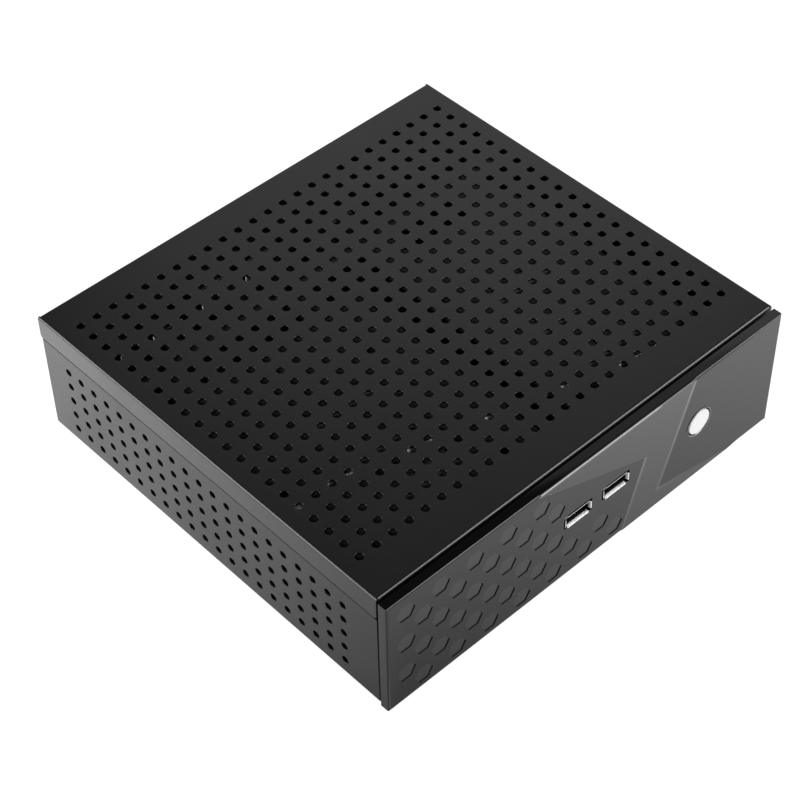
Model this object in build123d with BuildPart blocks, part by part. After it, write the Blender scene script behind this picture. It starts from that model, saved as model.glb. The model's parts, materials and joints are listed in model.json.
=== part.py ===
"""Slim mini PC: perforated steel case, lift-off lid, gloss front panel, mini-ITX board and drives.

Millimetres. +Z is up, the front panel faces -Y and +X is to the right when looking at the front.
The origin is the centre of the footprint on the plane that the rubber feet rest on.
"""

import math
import os

from build123d import *

# ---------------------------------------------------------------- driving dimensions
WIDTH = 210.4  # over the lid and the front panel
DEPTH = 201.5  # front panel face to lid screw heads
HEIGHT = 62.7  # feet to lid top
FOOT_HEIGHT = 3.0
SHEET = 1.0  # steel thickness of the tray, the lid and the brackets
FIT = 0.2  # clearance between the lid and the tray, per side
RUN = 0.03  # radial clearance of a shaft or a screw in its hole

FRONT = -DEPTH / 2
PANEL_THICK = 4.7
PANEL_GAP = 1.0  # shadow gap between the front panel and the case
PANEL_SKIN = 2.4
PANEL_HEIGHT = 59.3
PANEL_TOP = HEIGHT - 1.0
PANEL_BOTTOM = PANEL_TOP - PANEL_HEIGHT
PANEL_ROUND = 1.2
PANEL_BACK = FRONT + PANEL_THICK
PANEL_INSIDE = FRONT + PANEL_SKIN

LID_FRONT = PANEL_BACK + PANEL_GAP
LID_DEPTH = 194.05
LID_REAR = LID_FRONT + LID_DEPTH
LID_SIDE_LIP = 10.7
LID_FRONT_LIP = 6.0
LID_REAR_LIP = 9.6
LID_BEND = 1.0

BASE = FOOT_HEIGHT
FLOOR = BASE + SHEET
WALL_TOP = HEIGHT - SHEET - FIT
WALL_FRONT = LID_FRONT + SHEET + FIT
INSIDE_FRONT = WALL_FRONT + SHEET
# the tray's walls are nearly flush with the lid and step inwards behind its lips
FLUSH = 0.35
SEAM = 0.9
LOWER_HALF = WIDTH / 2 - FLUSH
WALL_REAR = LID_REAR - FLUSH
TRAY_HALF = WIDTH / 2 - SHEET - FIT
TRAY_INNER = TRAY_HALF - SHEET
UPPER_REAR = LID_REAR - SHEET - FIT
INSIDE_REAR = UPPER_REAR - SHEET
SIDE_STEP = HEIGHT - LID_SIDE_LIP - SEAM
REAR_STEP = HEIGHT - LID_REAR_LIP - SEAM

HOLE_PITCH = 8.0
HOLE_RADIUS = 1.7
TOP_COLUMNS, TOP_ROWS = 25, 21
SIDE_COLUMNS, SIDE_ROWS = 21, 5
GRID_Y = LID_FRONT + 98.35  # centre of the top and side hole grids
SIDE_GRID_Z = 26.9

PORT_Z = 34.1  # centre height of the front sockets and the power button
USB_X = (-8.0, 12.6)
BUTTON_X = 59.9

HEX_FLATS = 8.0
HEX_DEPTH = 0.35
HEX_COLUMN_STEP = 16.9
HEX_ROW_STEP = 8.6
HEX_ROW_COUNTS = (5, 5, 5, 5, 7, 7)  # from the top row down
HEX_FIRST = (-96.1, PANEL_BOTTOM + 50.5)
RELIEF_DEPTH = 0.4

STANDOFF = 5.0
BOARD_SIZE = 170.0
BOARD_THICK = 1.57
BOARD_BOTTOM = FLOOR + STANDOFF
BOARD_TOP = BOARD_BOTTOM + BOARD_THICK
BOARD_REAR = 94.5
BOARD_FRONT = BOARD_REAR - BOARD_SIZE
BOARD_LEFT = -BOARD_SIZE / 2
BOARD_HOLES = [
    (BOARD_LEFT + 6.35, BOARD_REAR - 10.16),
    (BOARD_LEFT + 163.83, BOARD_REAR - 33.02),
    (BOARD_LEFT + 6.35, BOARD_REAR - 165.1),
    (BOARD_LEFT + 163.83, BOARD_REAR - 165.1),
]
APERTURE_WIDTH, APERTURE_HEIGHT = 158.75, 44.45
APERTURE_X = 3.0
APERTURE_BOTTOM = BOARD_TOP - 3.81
APERTURE_Z = APERTURE_BOTTOM + APERTURE_HEIGHT / 2

CPU_X, CPU_Y = 5.0, 24.0
COOLER_WIDTH = 80.0
SOCKET_TOP = BOARD_TOP + 3.0
CPU_TOP = SOCKET_TOP + 2.6
HEATSINK_BASE = 4.0
HEATSINK_TOP = CPU_TOP + 14.0
FAN_THICK = 12.0
FAN_TOP = HEATSINK_TOP + FAN_THICK
FAN_BORE = 37.5
FAN_HOLE_SPACING = 71.5
SHAFT_RADIUS = 1.5

SHELF = HEIGHT - 6  # underside of the drive brackets and top of the cross brace
BRACKET_TOP = SHELF + SHEET
BRACKET_REAR = 27.0
BRACE_Y = (44.0, 52.0)
BRACE_BOTTOM = SHELF - 8
DRIVE_WIDTH, DRIVE_LENGTH, DRIVE_THICK = 69.85, 100.0, 7.0
DRIVE_REAR = 15.0
DRIVE_HOLES = (61.72, 76.6)  # spacing across and along the drive
DRIVE_HOLES_Y = DRIVE_REAR - 52.3
DRIVE_X = {"left": -52.0, "right": 48.0}

M3 = 1.5  # screw shank radii
M25 = 1.25

BOTTOM_UP = (Align.CENTER, Align.CENTER, Align.MIN)
TOP_DOWN = (Align.CENTER, Align.CENTER, Align.MAX)


# ---------------------------------------------------------------- shared shapes
def block(x, y, z, mode=Mode.ADD):
    """Adds or cuts a box that spans two values on each axis."""
    middle = tuple((low + high) / 2 for low, high in (x, y, z))
    with Locations(middle):
        Box(x[1] - x[0], y[1] - y[0], z[1] - z[0], mode=mode)


def around(middle, width):
    """The two ends of a span of the given width about its middle."""
    return (middle - width / 2, middle + width / 2)


def facing_front(y):
    """Plane at y whose normal points to the front; its own axes are X and Z."""
    return Plane.XZ.offset(-y)


def toward(x, y, z, direction):
    """Placement at a point with its Z along the given direction."""
    return Plane(origin=(x, y, z), z_dir=direction)


def screw(head_radius, head_height, shank_radius, shank_length):
    """A pan-head screw: head above the placement's plane, shank below it, cross recess on top."""
    Cylinder(head_radius, head_height, align=BOTTOM_UP)
    Cylinder(shank_radius, shank_length, align=TOP_DOWN)
    recess = head_height * 0.55
    with Locations((0, 0, head_height)):
        Box(head_radius * 1.1, 0.5, recess, align=TOP_DOWN, mode=Mode.SUBTRACT)
        Box(0.5, head_radius * 1.1, recess, align=TOP_DOWN, mode=Mode.SUBTRACT)


def hexagon_centres():
    """Centres of the recessed hexagons on the front panel, row by row from the top."""
    centres = []
    for row, count in enumerate(HEX_ROW_COUNTS):
        shift = (row % 2) * HEX_COLUMN_STEP / 2
        for column in range(count):
            x = HEX_FIRST[0] + shift + column * HEX_COLUMN_STEP
            centres.append((x, HEX_FIRST[1] - row * HEX_ROW_STEP))
    return centres


# ---------------------------------------------------------------- case
LID_SCREWS = [(x, HEIGHT - 5.6) for x in (-80.0, 0.0, 80.0)]
LID_SCREW_HEAD = 1.7
BEZEL_SCREWS = [(x, z) for x in (-94.0, 94.0) for z in (12.0, 38.0)]
BOSS_PILOT = M25 + RUN
FEET = [(x, y) for x in (-86.0, 86.0) for y in (-78.0, 82.0)]
BRACKET_FRONT_SCREWS = [(-84.0, 50.5), (-20.0, 50.5), (22.0, 50.5), (74.0, 50.5)]
BRACKET_ARMS_X = [-86.0, -22.0, 24.0, 72.0]
ARM_WIDTH = 12.0
USB_TAB_X = (-19.0, 23.0)
USB_BOARD_BOTTOM = PORT_Z - 4.6
USB_BOARD_TOP = USB_BOARD_BOTTOM + 1.6

with BuildPart() as chassis_tray:
    block((-LOWER_HALF, LOWER_HALF), (WALL_FRONT, WALL_REAR), (BASE, SIDE_STEP))
    fillet(chassis_tray.edges().filter_by(Axis.Z).group_by(Axis.Y)[-1], 1.0)
    block((-TRAY_HALF, TRAY_HALF), (WALL_FRONT, WALL_REAR), (BASE + 1, REAR_STEP))
    block((-TRAY_HALF, TRAY_HALF), (WALL_FRONT, UPPER_REAR), (BASE + 1, WALL_TOP))
    for half, rear, top in (
        (LOWER_HALF, WALL_REAR, SIDE_STEP - SHEET),
        (TRAY_HALF, WALL_REAR, REAR_STEP - SHEET),
        (TRAY_HALF, UPPER_REAR, WALL_TOP + 1),
    ):
        inner = (SHEET - half, half - SHEET)
        block(inner, (INSIDE_FRONT, rear - SHEET), (FLOOR, top), Mode.SUBTRACT)
    # the floor and the side walls run a little ahead of the front wall
    block((-LOWER_HALF, LOWER_HALF), (LID_FRONT, WALL_FRONT), (BASE, FLOOR))
    for side in (-1, 1):
        lower = sorted((side * LOWER_HALF, side * (LOWER_HALF - SHEET)))
        upper = sorted((side * TRAY_HALF, side * TRAY_INNER))
        block(lower, (LID_FRONT, WALL_FRONT), (BASE, SIDE_STEP))
        block(upper, (LID_FRONT, WALL_FRONT), (SIDE_STEP - SHEET, WALL_TOP))
    # stiffening flanges folded inwards along the front and rear walls
    block((-TRAY_INNER, TRAY_INNER), (INSIDE_FRONT, INSIDE_FRONT + 5), (WALL_TOP - SHEET, WALL_TOP))
    block((-TRAY_INNER, TRAY_INNER), (INSIDE_REAR - 6, INSIDE_REAR), (WALL_TOP - SHEET, WALL_TOP))
    # tabs that carry the front socket board
    for x in USB_TAB_X:
        block(around(x, 7), (INSIDE_FRONT, -84), (USB_BOARD_BOTTOM - SHEET, USB_BOARD_BOTTOM))
    # vents in the left wall
    with BuildSketch(Plane.YZ.offset(-WIDTH / 2)):
        with Locations((GRID_Y, SIDE_GRID_Z)):
            with GridLocations(HOLE_PITCH, HOLE_PITCH, SIDE_COLUMNS, SIDE_ROWS):
                Circle(HOLE_RADIUS)
    extrude(amount=FLUSH + SHEET + 1, mode=Mode.SUBTRACT)
    # rear wall: port aperture and lid screw holes
    with BuildSketch(Plane.XZ.offset(-WALL_REAR - 1)):
        with Locations((APERTURE_X, APERTURE_Z)):
            Rectangle(APERTURE_WIDTH, APERTURE_HEIGHT)
        with Locations(*LID_SCREWS):
            Circle(M3 + RUN)
    extrude(amount=SHEET + 3, mode=Mode.SUBTRACT)
    # front wall: windows for the sockets and the switch, screw holes
    with BuildSketch(facing_front(INSIDE_FRONT)):
        with Locations(*[(x, PORT_Z) for x in USB_X]):
            Rectangle(16.0, 8.4)
        with Locations((BUTTON_X, PORT_Z)):
            Rectangle(34.0, 22.0)
        with Locations(*BEZEL_SCREWS):
            Circle(1.7)
        with Locations(*BRACKET_FRONT_SCREWS):
            Circle(M3 + RUN)
    extrude(amount=SHEET + 0.1, mode=Mode.SUBTRACT)
    # floor: standoff holes and a vent field under the processor
    with BuildSketch(Plane.XY.offset(BASE - 1)):
        with Locations(*BOARD_HOLES):
            Circle(2.1)
        with Locations((CPU_X, CPU_Y)):
            with GridLocations(HOLE_PITCH, HOLE_PITCH, 11, 9):
                Circle(HOLE_RADIUS)
    extrude(amount=SHEET + 2, mode=Mode.SUBTRACT)
    with Locations(*[(x, -88, USB_BOARD_BOTTOM) for x in USB_TAB_X]):
        Cylinder(M25 + RUN, 3, mode=Mode.SUBTRACT)

with BuildPart() as lid:
    block((-WIDTH / 2, WIDTH / 2), (LID_FRONT, LID_REAR), (HEIGHT - LID_SIDE_LIP, HEIGHT))
    fillet(lid.faces().sort_by(Axis.Z)[-1].edges(), LID_BEND)
    lip_inner = WIDTH / 2 - SHEET
    block(
        (-lip_inner, lip_inner),
        (LID_FRONT + SHEET, LID_REAR - SHEET),
        (0, HEIGHT - SHEET),
        Mode.SUBTRACT,
    )
    # the front and rear lips are shorter, and both stop short of the sides
    block((-WIDTH, WIDTH), (LID_FRONT - 1, LID_FRONT + SHEET), (0, HEIGHT - LID_FRONT_LIP), Mode.SUBTRACT)
    for side in (-1, 1):
        relief = sorted((side * (TRAY_HALF - SHEET - FIT), side * lip_inner))
        block(relief, (LID_FRONT - 1, LID_FRONT + SHEET), (0, HEIGHT - LID_BEND), Mode.SUBTRACT)
        block(relief, (LID_REAR - SHEET, LID_REAR + 1), (0, HEIGHT - LID_BEND), Mode.SUBTRACT)
    rear_lip = (LID_REAR - SHEET, LID_REAR + 1)
    block((-lip_inner, lip_inner), rear_lip, (0, HEIGHT - LID_REAR_LIP), Mode.SUBTRACT)
    with BuildSketch(Plane.XY.offset(HEIGHT - SHEET - 1)):
        with Locations((0, GRID_Y)):
            with GridLocations(HOLE_PITCH, HOLE_PITCH, TOP_COLUMNS, TOP_ROWS):
                Circle(HOLE_RADIUS)
    extrude(amount=SHEET + 2, mode=Mode.SUBTRACT)
    # rear notches, open downwards, so the lid lifts off once its screws are loosened
    with BuildSketch(Plane.XZ.offset(-LID_REAR - 1)):
        for x, z in LID_SCREWS:
            with Locations((x, z)):
                Circle(M3 + FIT)
            with Locations((x, z - 10)):
                Rectangle(2 * (M3 + FIT), 20)
    extrude(amount=SHEET + 2, mode=Mode.SUBTRACT)

with BuildPart() as rubber_feet:
    with Locations(*FEET):
        Cone(5.2, 6.0, FOOT_HEIGHT, align=BOTTOM_UP)

with BuildPart() as lid_screws:
    with Locations(*[toward(x, LID_REAR + 0.05, z, (0, 1, 0)) for x, z in LID_SCREWS]):
        screw(3.0, LID_SCREW_HEAD, M3, 7.0)


# ---------------------------------------------------------------- front panel
# outlines of the two recessed areas on the panel face, as (x, height above the panel's lower edge)
HEX_AREA = [(-106, 0), (18.9, 0), (29.7, 35.1), (-31.7, PANEL_HEIGHT), (-106, PANEL_HEIGHT)]
BUTTON_AREA = [(86.5, 0), (106, 0), (106, PANEL_HEIGHT), (53.2, PANEL_HEIGHT), (36.2, 9.2)]

with BuildPart() as front_bezel:
    block((-WIDTH / 2, WIDTH / 2), (FRONT, PANEL_BACK), (PANEL_BOTTOM, PANEL_TOP))
    fillet(front_bezel.faces().sort_by(Axis.Y)[0].edges(), PANEL_ROUND)
    rim = WIDTH / 2 - PANEL_SKIN
    block(
        (-rim, rim),
        (PANEL_INSIDE, PANEL_BACK + 1),
        (PANEL_BOTTOM + PANEL_SKIN, PANEL_TOP - PANEL_SKIN),
        Mode.SUBTRACT,
    )
    # shallow recessed areas left and right of a raised diagonal band
    with BuildSketch(facing_front(FRONT + RELIEF_DEPTH)):
        for outline in (HEX_AREA, BUTTON_AREA):
            with BuildLine():
                Polyline(*[(x, PANEL_BOTTOM + height) for x, height in outline], close=True)
            make_face()
    extrude(amount=RELIEF_DEPTH + 1, mode=Mode.SUBTRACT)
    with BuildSketch(facing_front(FRONT + RELIEF_DEPTH + HEX_DEPTH)):
        with Locations(*hexagon_centres()):
            RegularPolygon(HEX_FLATS / 2, 6, major_radius=False)
    extrude(amount=2, mode=Mode.SUBTRACT)
    # socket and button openings
    with BuildSketch(facing_front(PANEL_BACK)):
        with Locations(*[(x, PORT_Z) for x in USB_X]):
            Rectangle(14.8, 6.6)
        with Locations((BUTTON_X, PORT_Z)):
            Circle(6.6)
    extrude(amount=PANEL_THICK + 1, mode=Mode.SUBTRACT)
    # bosses that reach the tray's front wall, and two short ones for the switch board
    with BuildSketch(facing_front(WALL_FRONT)):
        with Locations(*BEZEL_SCREWS):
            Circle(3.2)
    extrude(amount=WALL_FRONT - PANEL_INSIDE)
    with BuildSketch(facing_front(-95.6)):
        with Locations(*[(BUTTON_X + dx, PORT_Z) for dx in (-11, 11)]):
            Circle(2.6)
    extrude(amount=-95.6 - PANEL_INSIDE)
    with BuildSketch(facing_front(WALL_FRONT)):
        with Locations(*BEZEL_SCREWS):
            Circle(BOSS_PILOT)
    extrude(amount=4.5, mode=Mode.SUBTRACT)
    with BuildSketch(facing_front(-95.6)):
        with Locations(*[(BUTTON_X + dx, PORT_Z) for dx in (-11, 11)]):
            Circle(0.8 + RUN)
    extrude(amount=3.0, mode=Mode.SUBTRACT)

with BuildPart() as bezel_screws:
    with Locations(*[toward(x, INSIDE_FRONT, z, (0, 1, 0)) for x, z in BEZEL_SCREWS]):
        screw(2.8, 1.7, M25, 5.0)


# ---------------------------------------------------------------- power button
SWITCH_BOARD_FRONT = -95.6
SWITCH_TRAVEL = 0.4
CAP_BACK = FRONT + 1.6

with BuildPart() as button_ring:
    with BuildSketch(facing_front(-98.3)):
        with Locations((BUTTON_X, PORT_Z)):
            Circle(6.55)
            Circle(6.05, mode=Mode.SUBTRACT)
    extrude(amount=-98.3 - (FRONT + RELIEF_DEPTH))
    with BuildSketch(facing_front(FRONT + RELIEF_DEPTH)):
        with Locations((BUTTON_X, PORT_Z)):
            Circle(6.95)
            Circle(6.05, mode=Mode.SUBTRACT)
    extrude(amount=0.25)

with BuildPart() as power_button:
    with BuildSketch(facing_front(CAP_BACK)):
        with Locations((BUTTON_X, PORT_Z)):
            Circle(5.85)
    extrude(amount=CAP_BACK - FRONT)
    fillet(power_button.faces().sort_by(Axis.Y)[0].edges(), 0.5)
    with BuildSketch(facing_front(-97.5)):
        with Locations((BUTTON_X, PORT_Z)):
            Circle(5.85)
            Circle(4.9, mode=Mode.SUBTRACT)
    extrude(amount=-97.5 - CAP_BACK)
    # collar behind the ring that keeps the cap from falling out
    with BuildSketch(facing_front(-97.5)):
        with Locations((BUTTON_X, PORT_Z)):
            Circle(6.45)
            Circle(4.9, mode=Mode.SUBTRACT)
    extrude(amount=0.7)

with BuildPart() as tactile_switch:
    block(around(BUTTON_X, 6), (CAP_BACK + 0.5, SWITCH_BOARD_FRONT), around(PORT_Z, 6))
    with BuildSketch(facing_front(-97.2)):
        with Locations((BUTTON_X, PORT_Z)):
            Circle(1.8)
    extrude(amount=4, mode=Mode.SUBTRACT)

with BuildPart() as switch_plunger:
    with BuildSketch(facing_front(-97.7)):
        with Locations((BUTTON_X, PORT_Z)):
            Circle(1.7)
    extrude(amount=-97.7 - CAP_BACK)

with BuildPart() as switch_board:
    block(around(BUTTON_X, 28), (SWITCH_BOARD_FRONT, SWITCH_BOARD_FRONT + 1.2), around(PORT_Z, 16))
    fillet(switch_board.edges().filter_by(Axis.Y), 1.0)
    with Locations(*[toward(BUTTON_X + dx, -95, PORT_Z, (0, 1, 0)) for dx in (-11, 11)]):
        Cylinder(1.1, 4, mode=Mode.SUBTRACT)

with BuildPart() as status_led:
    block(
        around(BUTTON_X, 1.6), (SWITCH_BOARD_FRONT - 0.7, SWITCH_BOARD_FRONT), around(PORT_Z + 4.0, 0.8)
    )

with BuildPart() as switch_board_screws:
    back = SWITCH_BOARD_FRONT + 1.2
    with Locations(*[toward(BUTTON_X + dx, back, PORT_Z, (0, 1, 0)) for dx in (-11, 11)]):
        screw(1.8, 1.2, 0.8, 3.8)


# ---------------------------------------------------------------- front sockets
SHELL_WIDTH, SHELL_HEIGHT, SHELL_SHEET = 13.2, 5.6, 0.3
FLARE_WIDTH, FLARE_HEIGHT = 14.2, 6.0
FLARE_FRONT = FRONT + 0.1
FLARE_BACK = FRONT + 1.7
SHELL_BACK = FRONT + 14.0


def socket_shell(x):
    """Pressed metal shell of one socket with a flared mouth, added to the open part."""
    centre = (x, PORT_Z)
    wall = 2 * SHELL_SHEET
    with BuildSketch(facing_front(SHELL_BACK)) as tube:
        with Locations(centre):
            RectangleRounded(SHELL_WIDTH, SHELL_HEIGHT, 0.8)
            Rectangle(SHELL_WIDTH - wall, SHELL_HEIGHT - wall, mode=Mode.SUBTRACT)
    extrude(tube.sketch, amount=SHELL_BACK - FLARE_BACK)
    for grow, mode in ((0.0, Mode.ADD), (wall, Mode.SUBTRACT)):
        with BuildSketch(facing_front(FLARE_BACK)) as throat:
            with Locations(centre):
                Rectangle(SHELL_WIDTH - grow, SHELL_HEIGHT - grow)
        with BuildSketch(facing_front(FLARE_FRONT)) as lips:
            with Locations(centre):
                Rectangle(FLARE_WIDTH - grow, FLARE_HEIGHT - grow)
        loft([throat.sketch, lips.sketch], mode=mode)
    # the four flaps of the mouth are separate at the corners
    for dx in (-1, 1):
        for dz in (-1, 1):
            corner_x = x + dx * (SHELL_WIDTH / 2 + 0.1)
            corner_z = PORT_Z + dz * (SHELL_HEIGHT / 2 + 0.1)
            block(
                around(corner_x, 1.5), (FRONT - 1, FLARE_BACK - 0.1), around(corner_z, 1.3), Mode.SUBTRACT
            )


TONGUE_Z = PORT_Z + 0.8


def socket_insert(x):
    """Plastic core of one socket: back wall and the flat tongue that carries the contacts."""
    inner_width = SHELL_WIDTH - 2 * SHELL_SHEET - 0.1
    inner_height = SHELL_HEIGHT - 2 * SHELL_SHEET - 0.1
    block(around(x, inner_width), (SHELL_BACK - 3, SHELL_BACK - 0.2), around(PORT_Z, inner_height))
    block(around(x, 11.1), (FRONT + 1.8, SHELL_BACK - 3), around(TONGUE_Z, 1.84))


with BuildPart() as front_usb_shell_left:
    socket_shell(USB_X[0])

with BuildPart() as front_usb_shell_right:
    socket_shell(USB_X[1])

with BuildPart() as front_usb_insert_left:
    socket_insert(USB_X[0])

with BuildPart() as front_usb_insert_right:
    socket_insert(USB_X[1])

with BuildPart() as front_usb_contacts:
    contact_z = TONGUE_Z - 0.92
    for x in USB_X:
        for offset_x in (-3.5, -1.0, 1.0, 3.5):
            block(
                around(x + offset_x, 1.0), (FRONT + 2.6, FRONT + 9.5), (contact_z - 0.2, contact_z)
            )

with BuildPart() as front_usb_board:
    block((-23, 27), (INSIDE_FRONT + 0.2, -77), (USB_BOARD_BOTTOM, USB_BOARD_TOP))
    fillet(front_usb_board.edges().filter_by(Axis.Z), 1.0)
    with Locations(*[(x, -88, USB_BOARD_TOP) for x in USB_TAB_X]):
        Cylinder(1.5, 6, mode=Mode.SUBTRACT)

with BuildPart() as usb_board_screws:
    with Locations(*[(x, -88, USB_BOARD_TOP) for x in USB_TAB_X]):
        screw(2.4, 1.4, M25, 3.4)


# ---------------------------------------------------------------- drive shelf
with BuildPart() as cross_brace:
    brace_half = TRAY_INNER - 0.1
    block((-brace_half, brace_half), BRACE_Y, (BRACE_BOTTOM, SHELF))
    block(
        (-brace_half, brace_half),
        (BRACE_Y[0] + SHEET, BRACE_Y[1] - SHEET),
        (0, SHELF - SHEET),
        Mode.SUBTRACT,
    )
    for side in (-1, 1):
        tab = sorted((side * brace_half, side * (brace_half - SHEET)))
        block(tab, (BRACE_Y[0] - 8, BRACE_Y[1] + 8), (46, SHELF))
    with Locations(*[(x, 48, SHELF) for x in BRACKET_ARMS_X]):
        Cylinder(M3 + RUN, 6, mode=Mode.SUBTRACT)

FLANGE = (INSIDE_FRONT + 0.05, INSIDE_FRONT + 0.05 + SHEET)


def drive_bracket(x_span, arms, front_screws, drive_x):
    """Folded shelf for one drive: front flange on the tray, two arms on the cross brace."""
    block(x_span, (FLANGE[0], BRACKET_REAR), (SHELF, BRACKET_TOP))
    block(x_span, FLANGE, (45.5, SHELF))
    for edge in (x_span[0], x_span[1] - SHEET):
        block((edge, edge + SHEET), (FLANGE[1] + 2, BRACKET_REAR), (49.0, SHELF))
    for x in arms:
        block(around(x, ARM_WIDTH), (BRACKET_REAR, BRACE_Y[1]), (SHELF, BRACKET_TOP))
    with Locations(*[toward(x, FLANGE[0], z, (0, 1, 0)) for x, z in front_screws]):
        Cylinder(M3 + RUN, 6, mode=Mode.SUBTRACT)
    with Locations(*[(x, 48, SHELF) for x in arms]):
        Cylinder(M3 + FIT, 6, mode=Mode.SUBTRACT)
    with Locations((drive_x, DRIVE_HOLES_Y, SHELF)):
        with GridLocations(*DRIVE_HOLES, 2, 2):
            Cylinder(M3 + FIT, 6, mode=Mode.SUBTRACT)
    # lightening slots over the drive
    with Locations((drive_x, DRIVE_HOLES_Y, SHELF)):
        with GridLocations(1, 24, 1, 3):
            Box(34, 8, 6, mode=Mode.SUBTRACT)


with BuildPart() as drive_bracket_left:
    drive_bracket((-100.0, -4.0), BRACKET_ARMS_X[:2], BRACKET_FRONT_SCREWS[:2], DRIVE_X["left"])
    # opening that the power lead drops through
    block((-98, -91), (-46, -30), (SHELF - 1, BRACKET_TOP + 1), Mode.SUBTRACT)

with BuildPart() as drive_bracket_right:
    drive_bracket((12.0, 84.0), BRACKET_ARMS_X[2:], BRACKET_FRONT_SCREWS[2:], DRIVE_X["right"])

with BuildPart() as bracket_screws:
    with Locations(*[toward(x, WALL_FRONT, z, (0, -1, 0)) for x, z in BRACKET_FRONT_SCREWS]):
        screw(2.8, 1.3, M3, 5.0)
    with Locations(*[(x, 48, BRACKET_TOP) for x in BRACKET_ARMS_X]):
        screw(2.8, 1.6, M3, 5.0)


def solid_state_drive(x):
    """A 2.5 inch drive hung under its bracket, threaded on top, connector notch at the rear."""
    z = (SHELF - DRIVE_THICK, SHELF)
    block(around(x, DRIVE_WIDTH), (DRIVE_REAR - DRIVE_LENGTH, DRIVE_REAR), z)
    fillet(edges(Select.LAST).filter_by(Axis.Z), 1.5)
    block(around(x, 42), (DRIVE_REAR - 4, DRIVE_REAR + 1), (z[0] + 1.2, z[0] + 5.2), Mode.SUBTRACT)
    with Locations((x, DRIVE_HOLES_Y, SHELF)):
        with GridLocations(*DRIVE_HOLES, 2, 2):
            Cylinder(M3 + RUN, 3.2, align=TOP_DOWN, mode=Mode.SUBTRACT)


with BuildPart() as drive_left:
    solid_state_drive(DRIVE_X["left"])

with BuildPart() as drive_right:
    solid_state_drive(DRIVE_X["right"])

with BuildPart() as drive_screws:
    for x in DRIVE_X.values():
        with Locations((x, DRIVE_HOLES_Y, BRACKET_TOP)):
            with GridLocations(*DRIVE_HOLES, 2, 2):
                screw(2.7, 1.4, M3, 3.6)


# ---------------------------------------------------------------- main board
with BuildPart() as motherboard:
    block((BOARD_LEFT, -BOARD_LEFT), (BOARD_FRONT, BOARD_REAR), (BOARD_BOTTOM, BOARD_TOP))
    with Locations(*[(x, y, BOARD_TOP) for x, y in BOARD_HOLES]):
        Cylinder(2.0, 6, mode=Mode.SUBTRACT)

with BuildPart() as board_standoffs:
    with BuildSketch(Plane.XY.offset(FLOOR)):
        with Locations(*BOARD_HOLES):
            RegularPolygon(2.75, 6, major_radius=False)
    extrude(amount=STANDOFF)
    with Locations(*[(x, y, FLOOR) for x, y in BOARD_HOLES]):
        Cylinder(2.05, SHEET, align=TOP_DOWN)
        Cylinder(M3 + RUN, 30, mode=Mode.SUBTRACT)

with BuildPart() as board_screws:
    with Locations(*[(x, y, BOARD_TOP) for x, y in BOARD_HOLES]):
        screw(3.0, 1.8, M3, 5.6)

with BuildPart() as cpu_socket:
    block(around(CPU_X, 45), around(CPU_Y, 45), (BOARD_TOP, SOCKET_TOP))
    chamfer(cpu_socket.edges().filter_by(Axis.Z), 1.5)

with BuildPart() as processor:
    block(around(CPU_X, 37.5), around(CPU_Y, 37.5), (SOCKET_TOP, SOCKET_TOP + 0.8))
    block(around(CPU_X, 31), around(CPU_Y, 31), (SOCKET_TOP + 0.8, CPU_TOP))

FAN_HOLES = [
    (CPU_X + dx * FAN_HOLE_SPACING / 2, CPU_Y + dy * FAN_HOLE_SPACING / 2)
    for dx in (-1, 1)
    for dy in (-1, 1)
]

with BuildPart() as heatsink:
    block(around(CPU_X, COOLER_WIDTH), around(CPU_Y, COOLER_WIDTH), (CPU_TOP, CPU_TOP + HEATSINK_BASE))
    fin_bottom = CPU_TOP + HEATSINK_BASE
    with Locations((CPU_X, CPU_Y, fin_bottom)):
        with GridLocations(4.0, 1, 17, 1):
            Box(1.2, COOLER_WIDTH, HEATSINK_TOP - fin_bottom, align=BOTTOM_UP)
    # corner posts for the fan screws
    for x, y in FAN_HOLES:
        block(around(x, 8.5), around(y, 8.5), (fin_bottom, HEATSINK_TOP))
    with Locations(*[(x, y, HEATSINK_TOP) for x, y in FAN_HOLES]):
        Cylinder(M3 + RUN, 9, align=TOP_DOWN, mode=Mode.SUBTRACT)

with BuildPart() as fan_frame:
    block(around(CPU_X, COOLER_WIDTH), around(CPU_Y, COOLER_WIDTH), (HEATSINK_TOP, FAN_TOP))
    fillet(fan_frame.edges().filter_by(Axis.Z), 3.0)
    with Locations((CPU_X, CPU_Y, HEATSINK_TOP)):
        Cylinder(FAN_BORE, 2 * FAN_THICK + 2, mode=Mode.SUBTRACT)
    with Locations(*[(x, y, HEATSINK_TOP) for x, y in FAN_HOLES]):
        Cylinder(2.1, 2 * FAN_THICK + 2, mode=Mode.SUBTRACT)
    # bearing tube on a disc that three spokes hold in the bore
    with Locations((CPU_X, CPU_Y, HEATSINK_TOP)):
        Cylinder(17, 1.5, align=BOTTOM_UP)
        Cylinder(3.2, 8.5, align=BOTTOM_UP)
        with PolarLocations(0, 3):
            with Locations((27.5, 0, 0)):
                Box(24, 3.5, 1.5, align=BOTTOM_UP)
        Cylinder(SHAFT_RADIUS + RUN, 40, mode=Mode.SUBTRACT)

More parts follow.
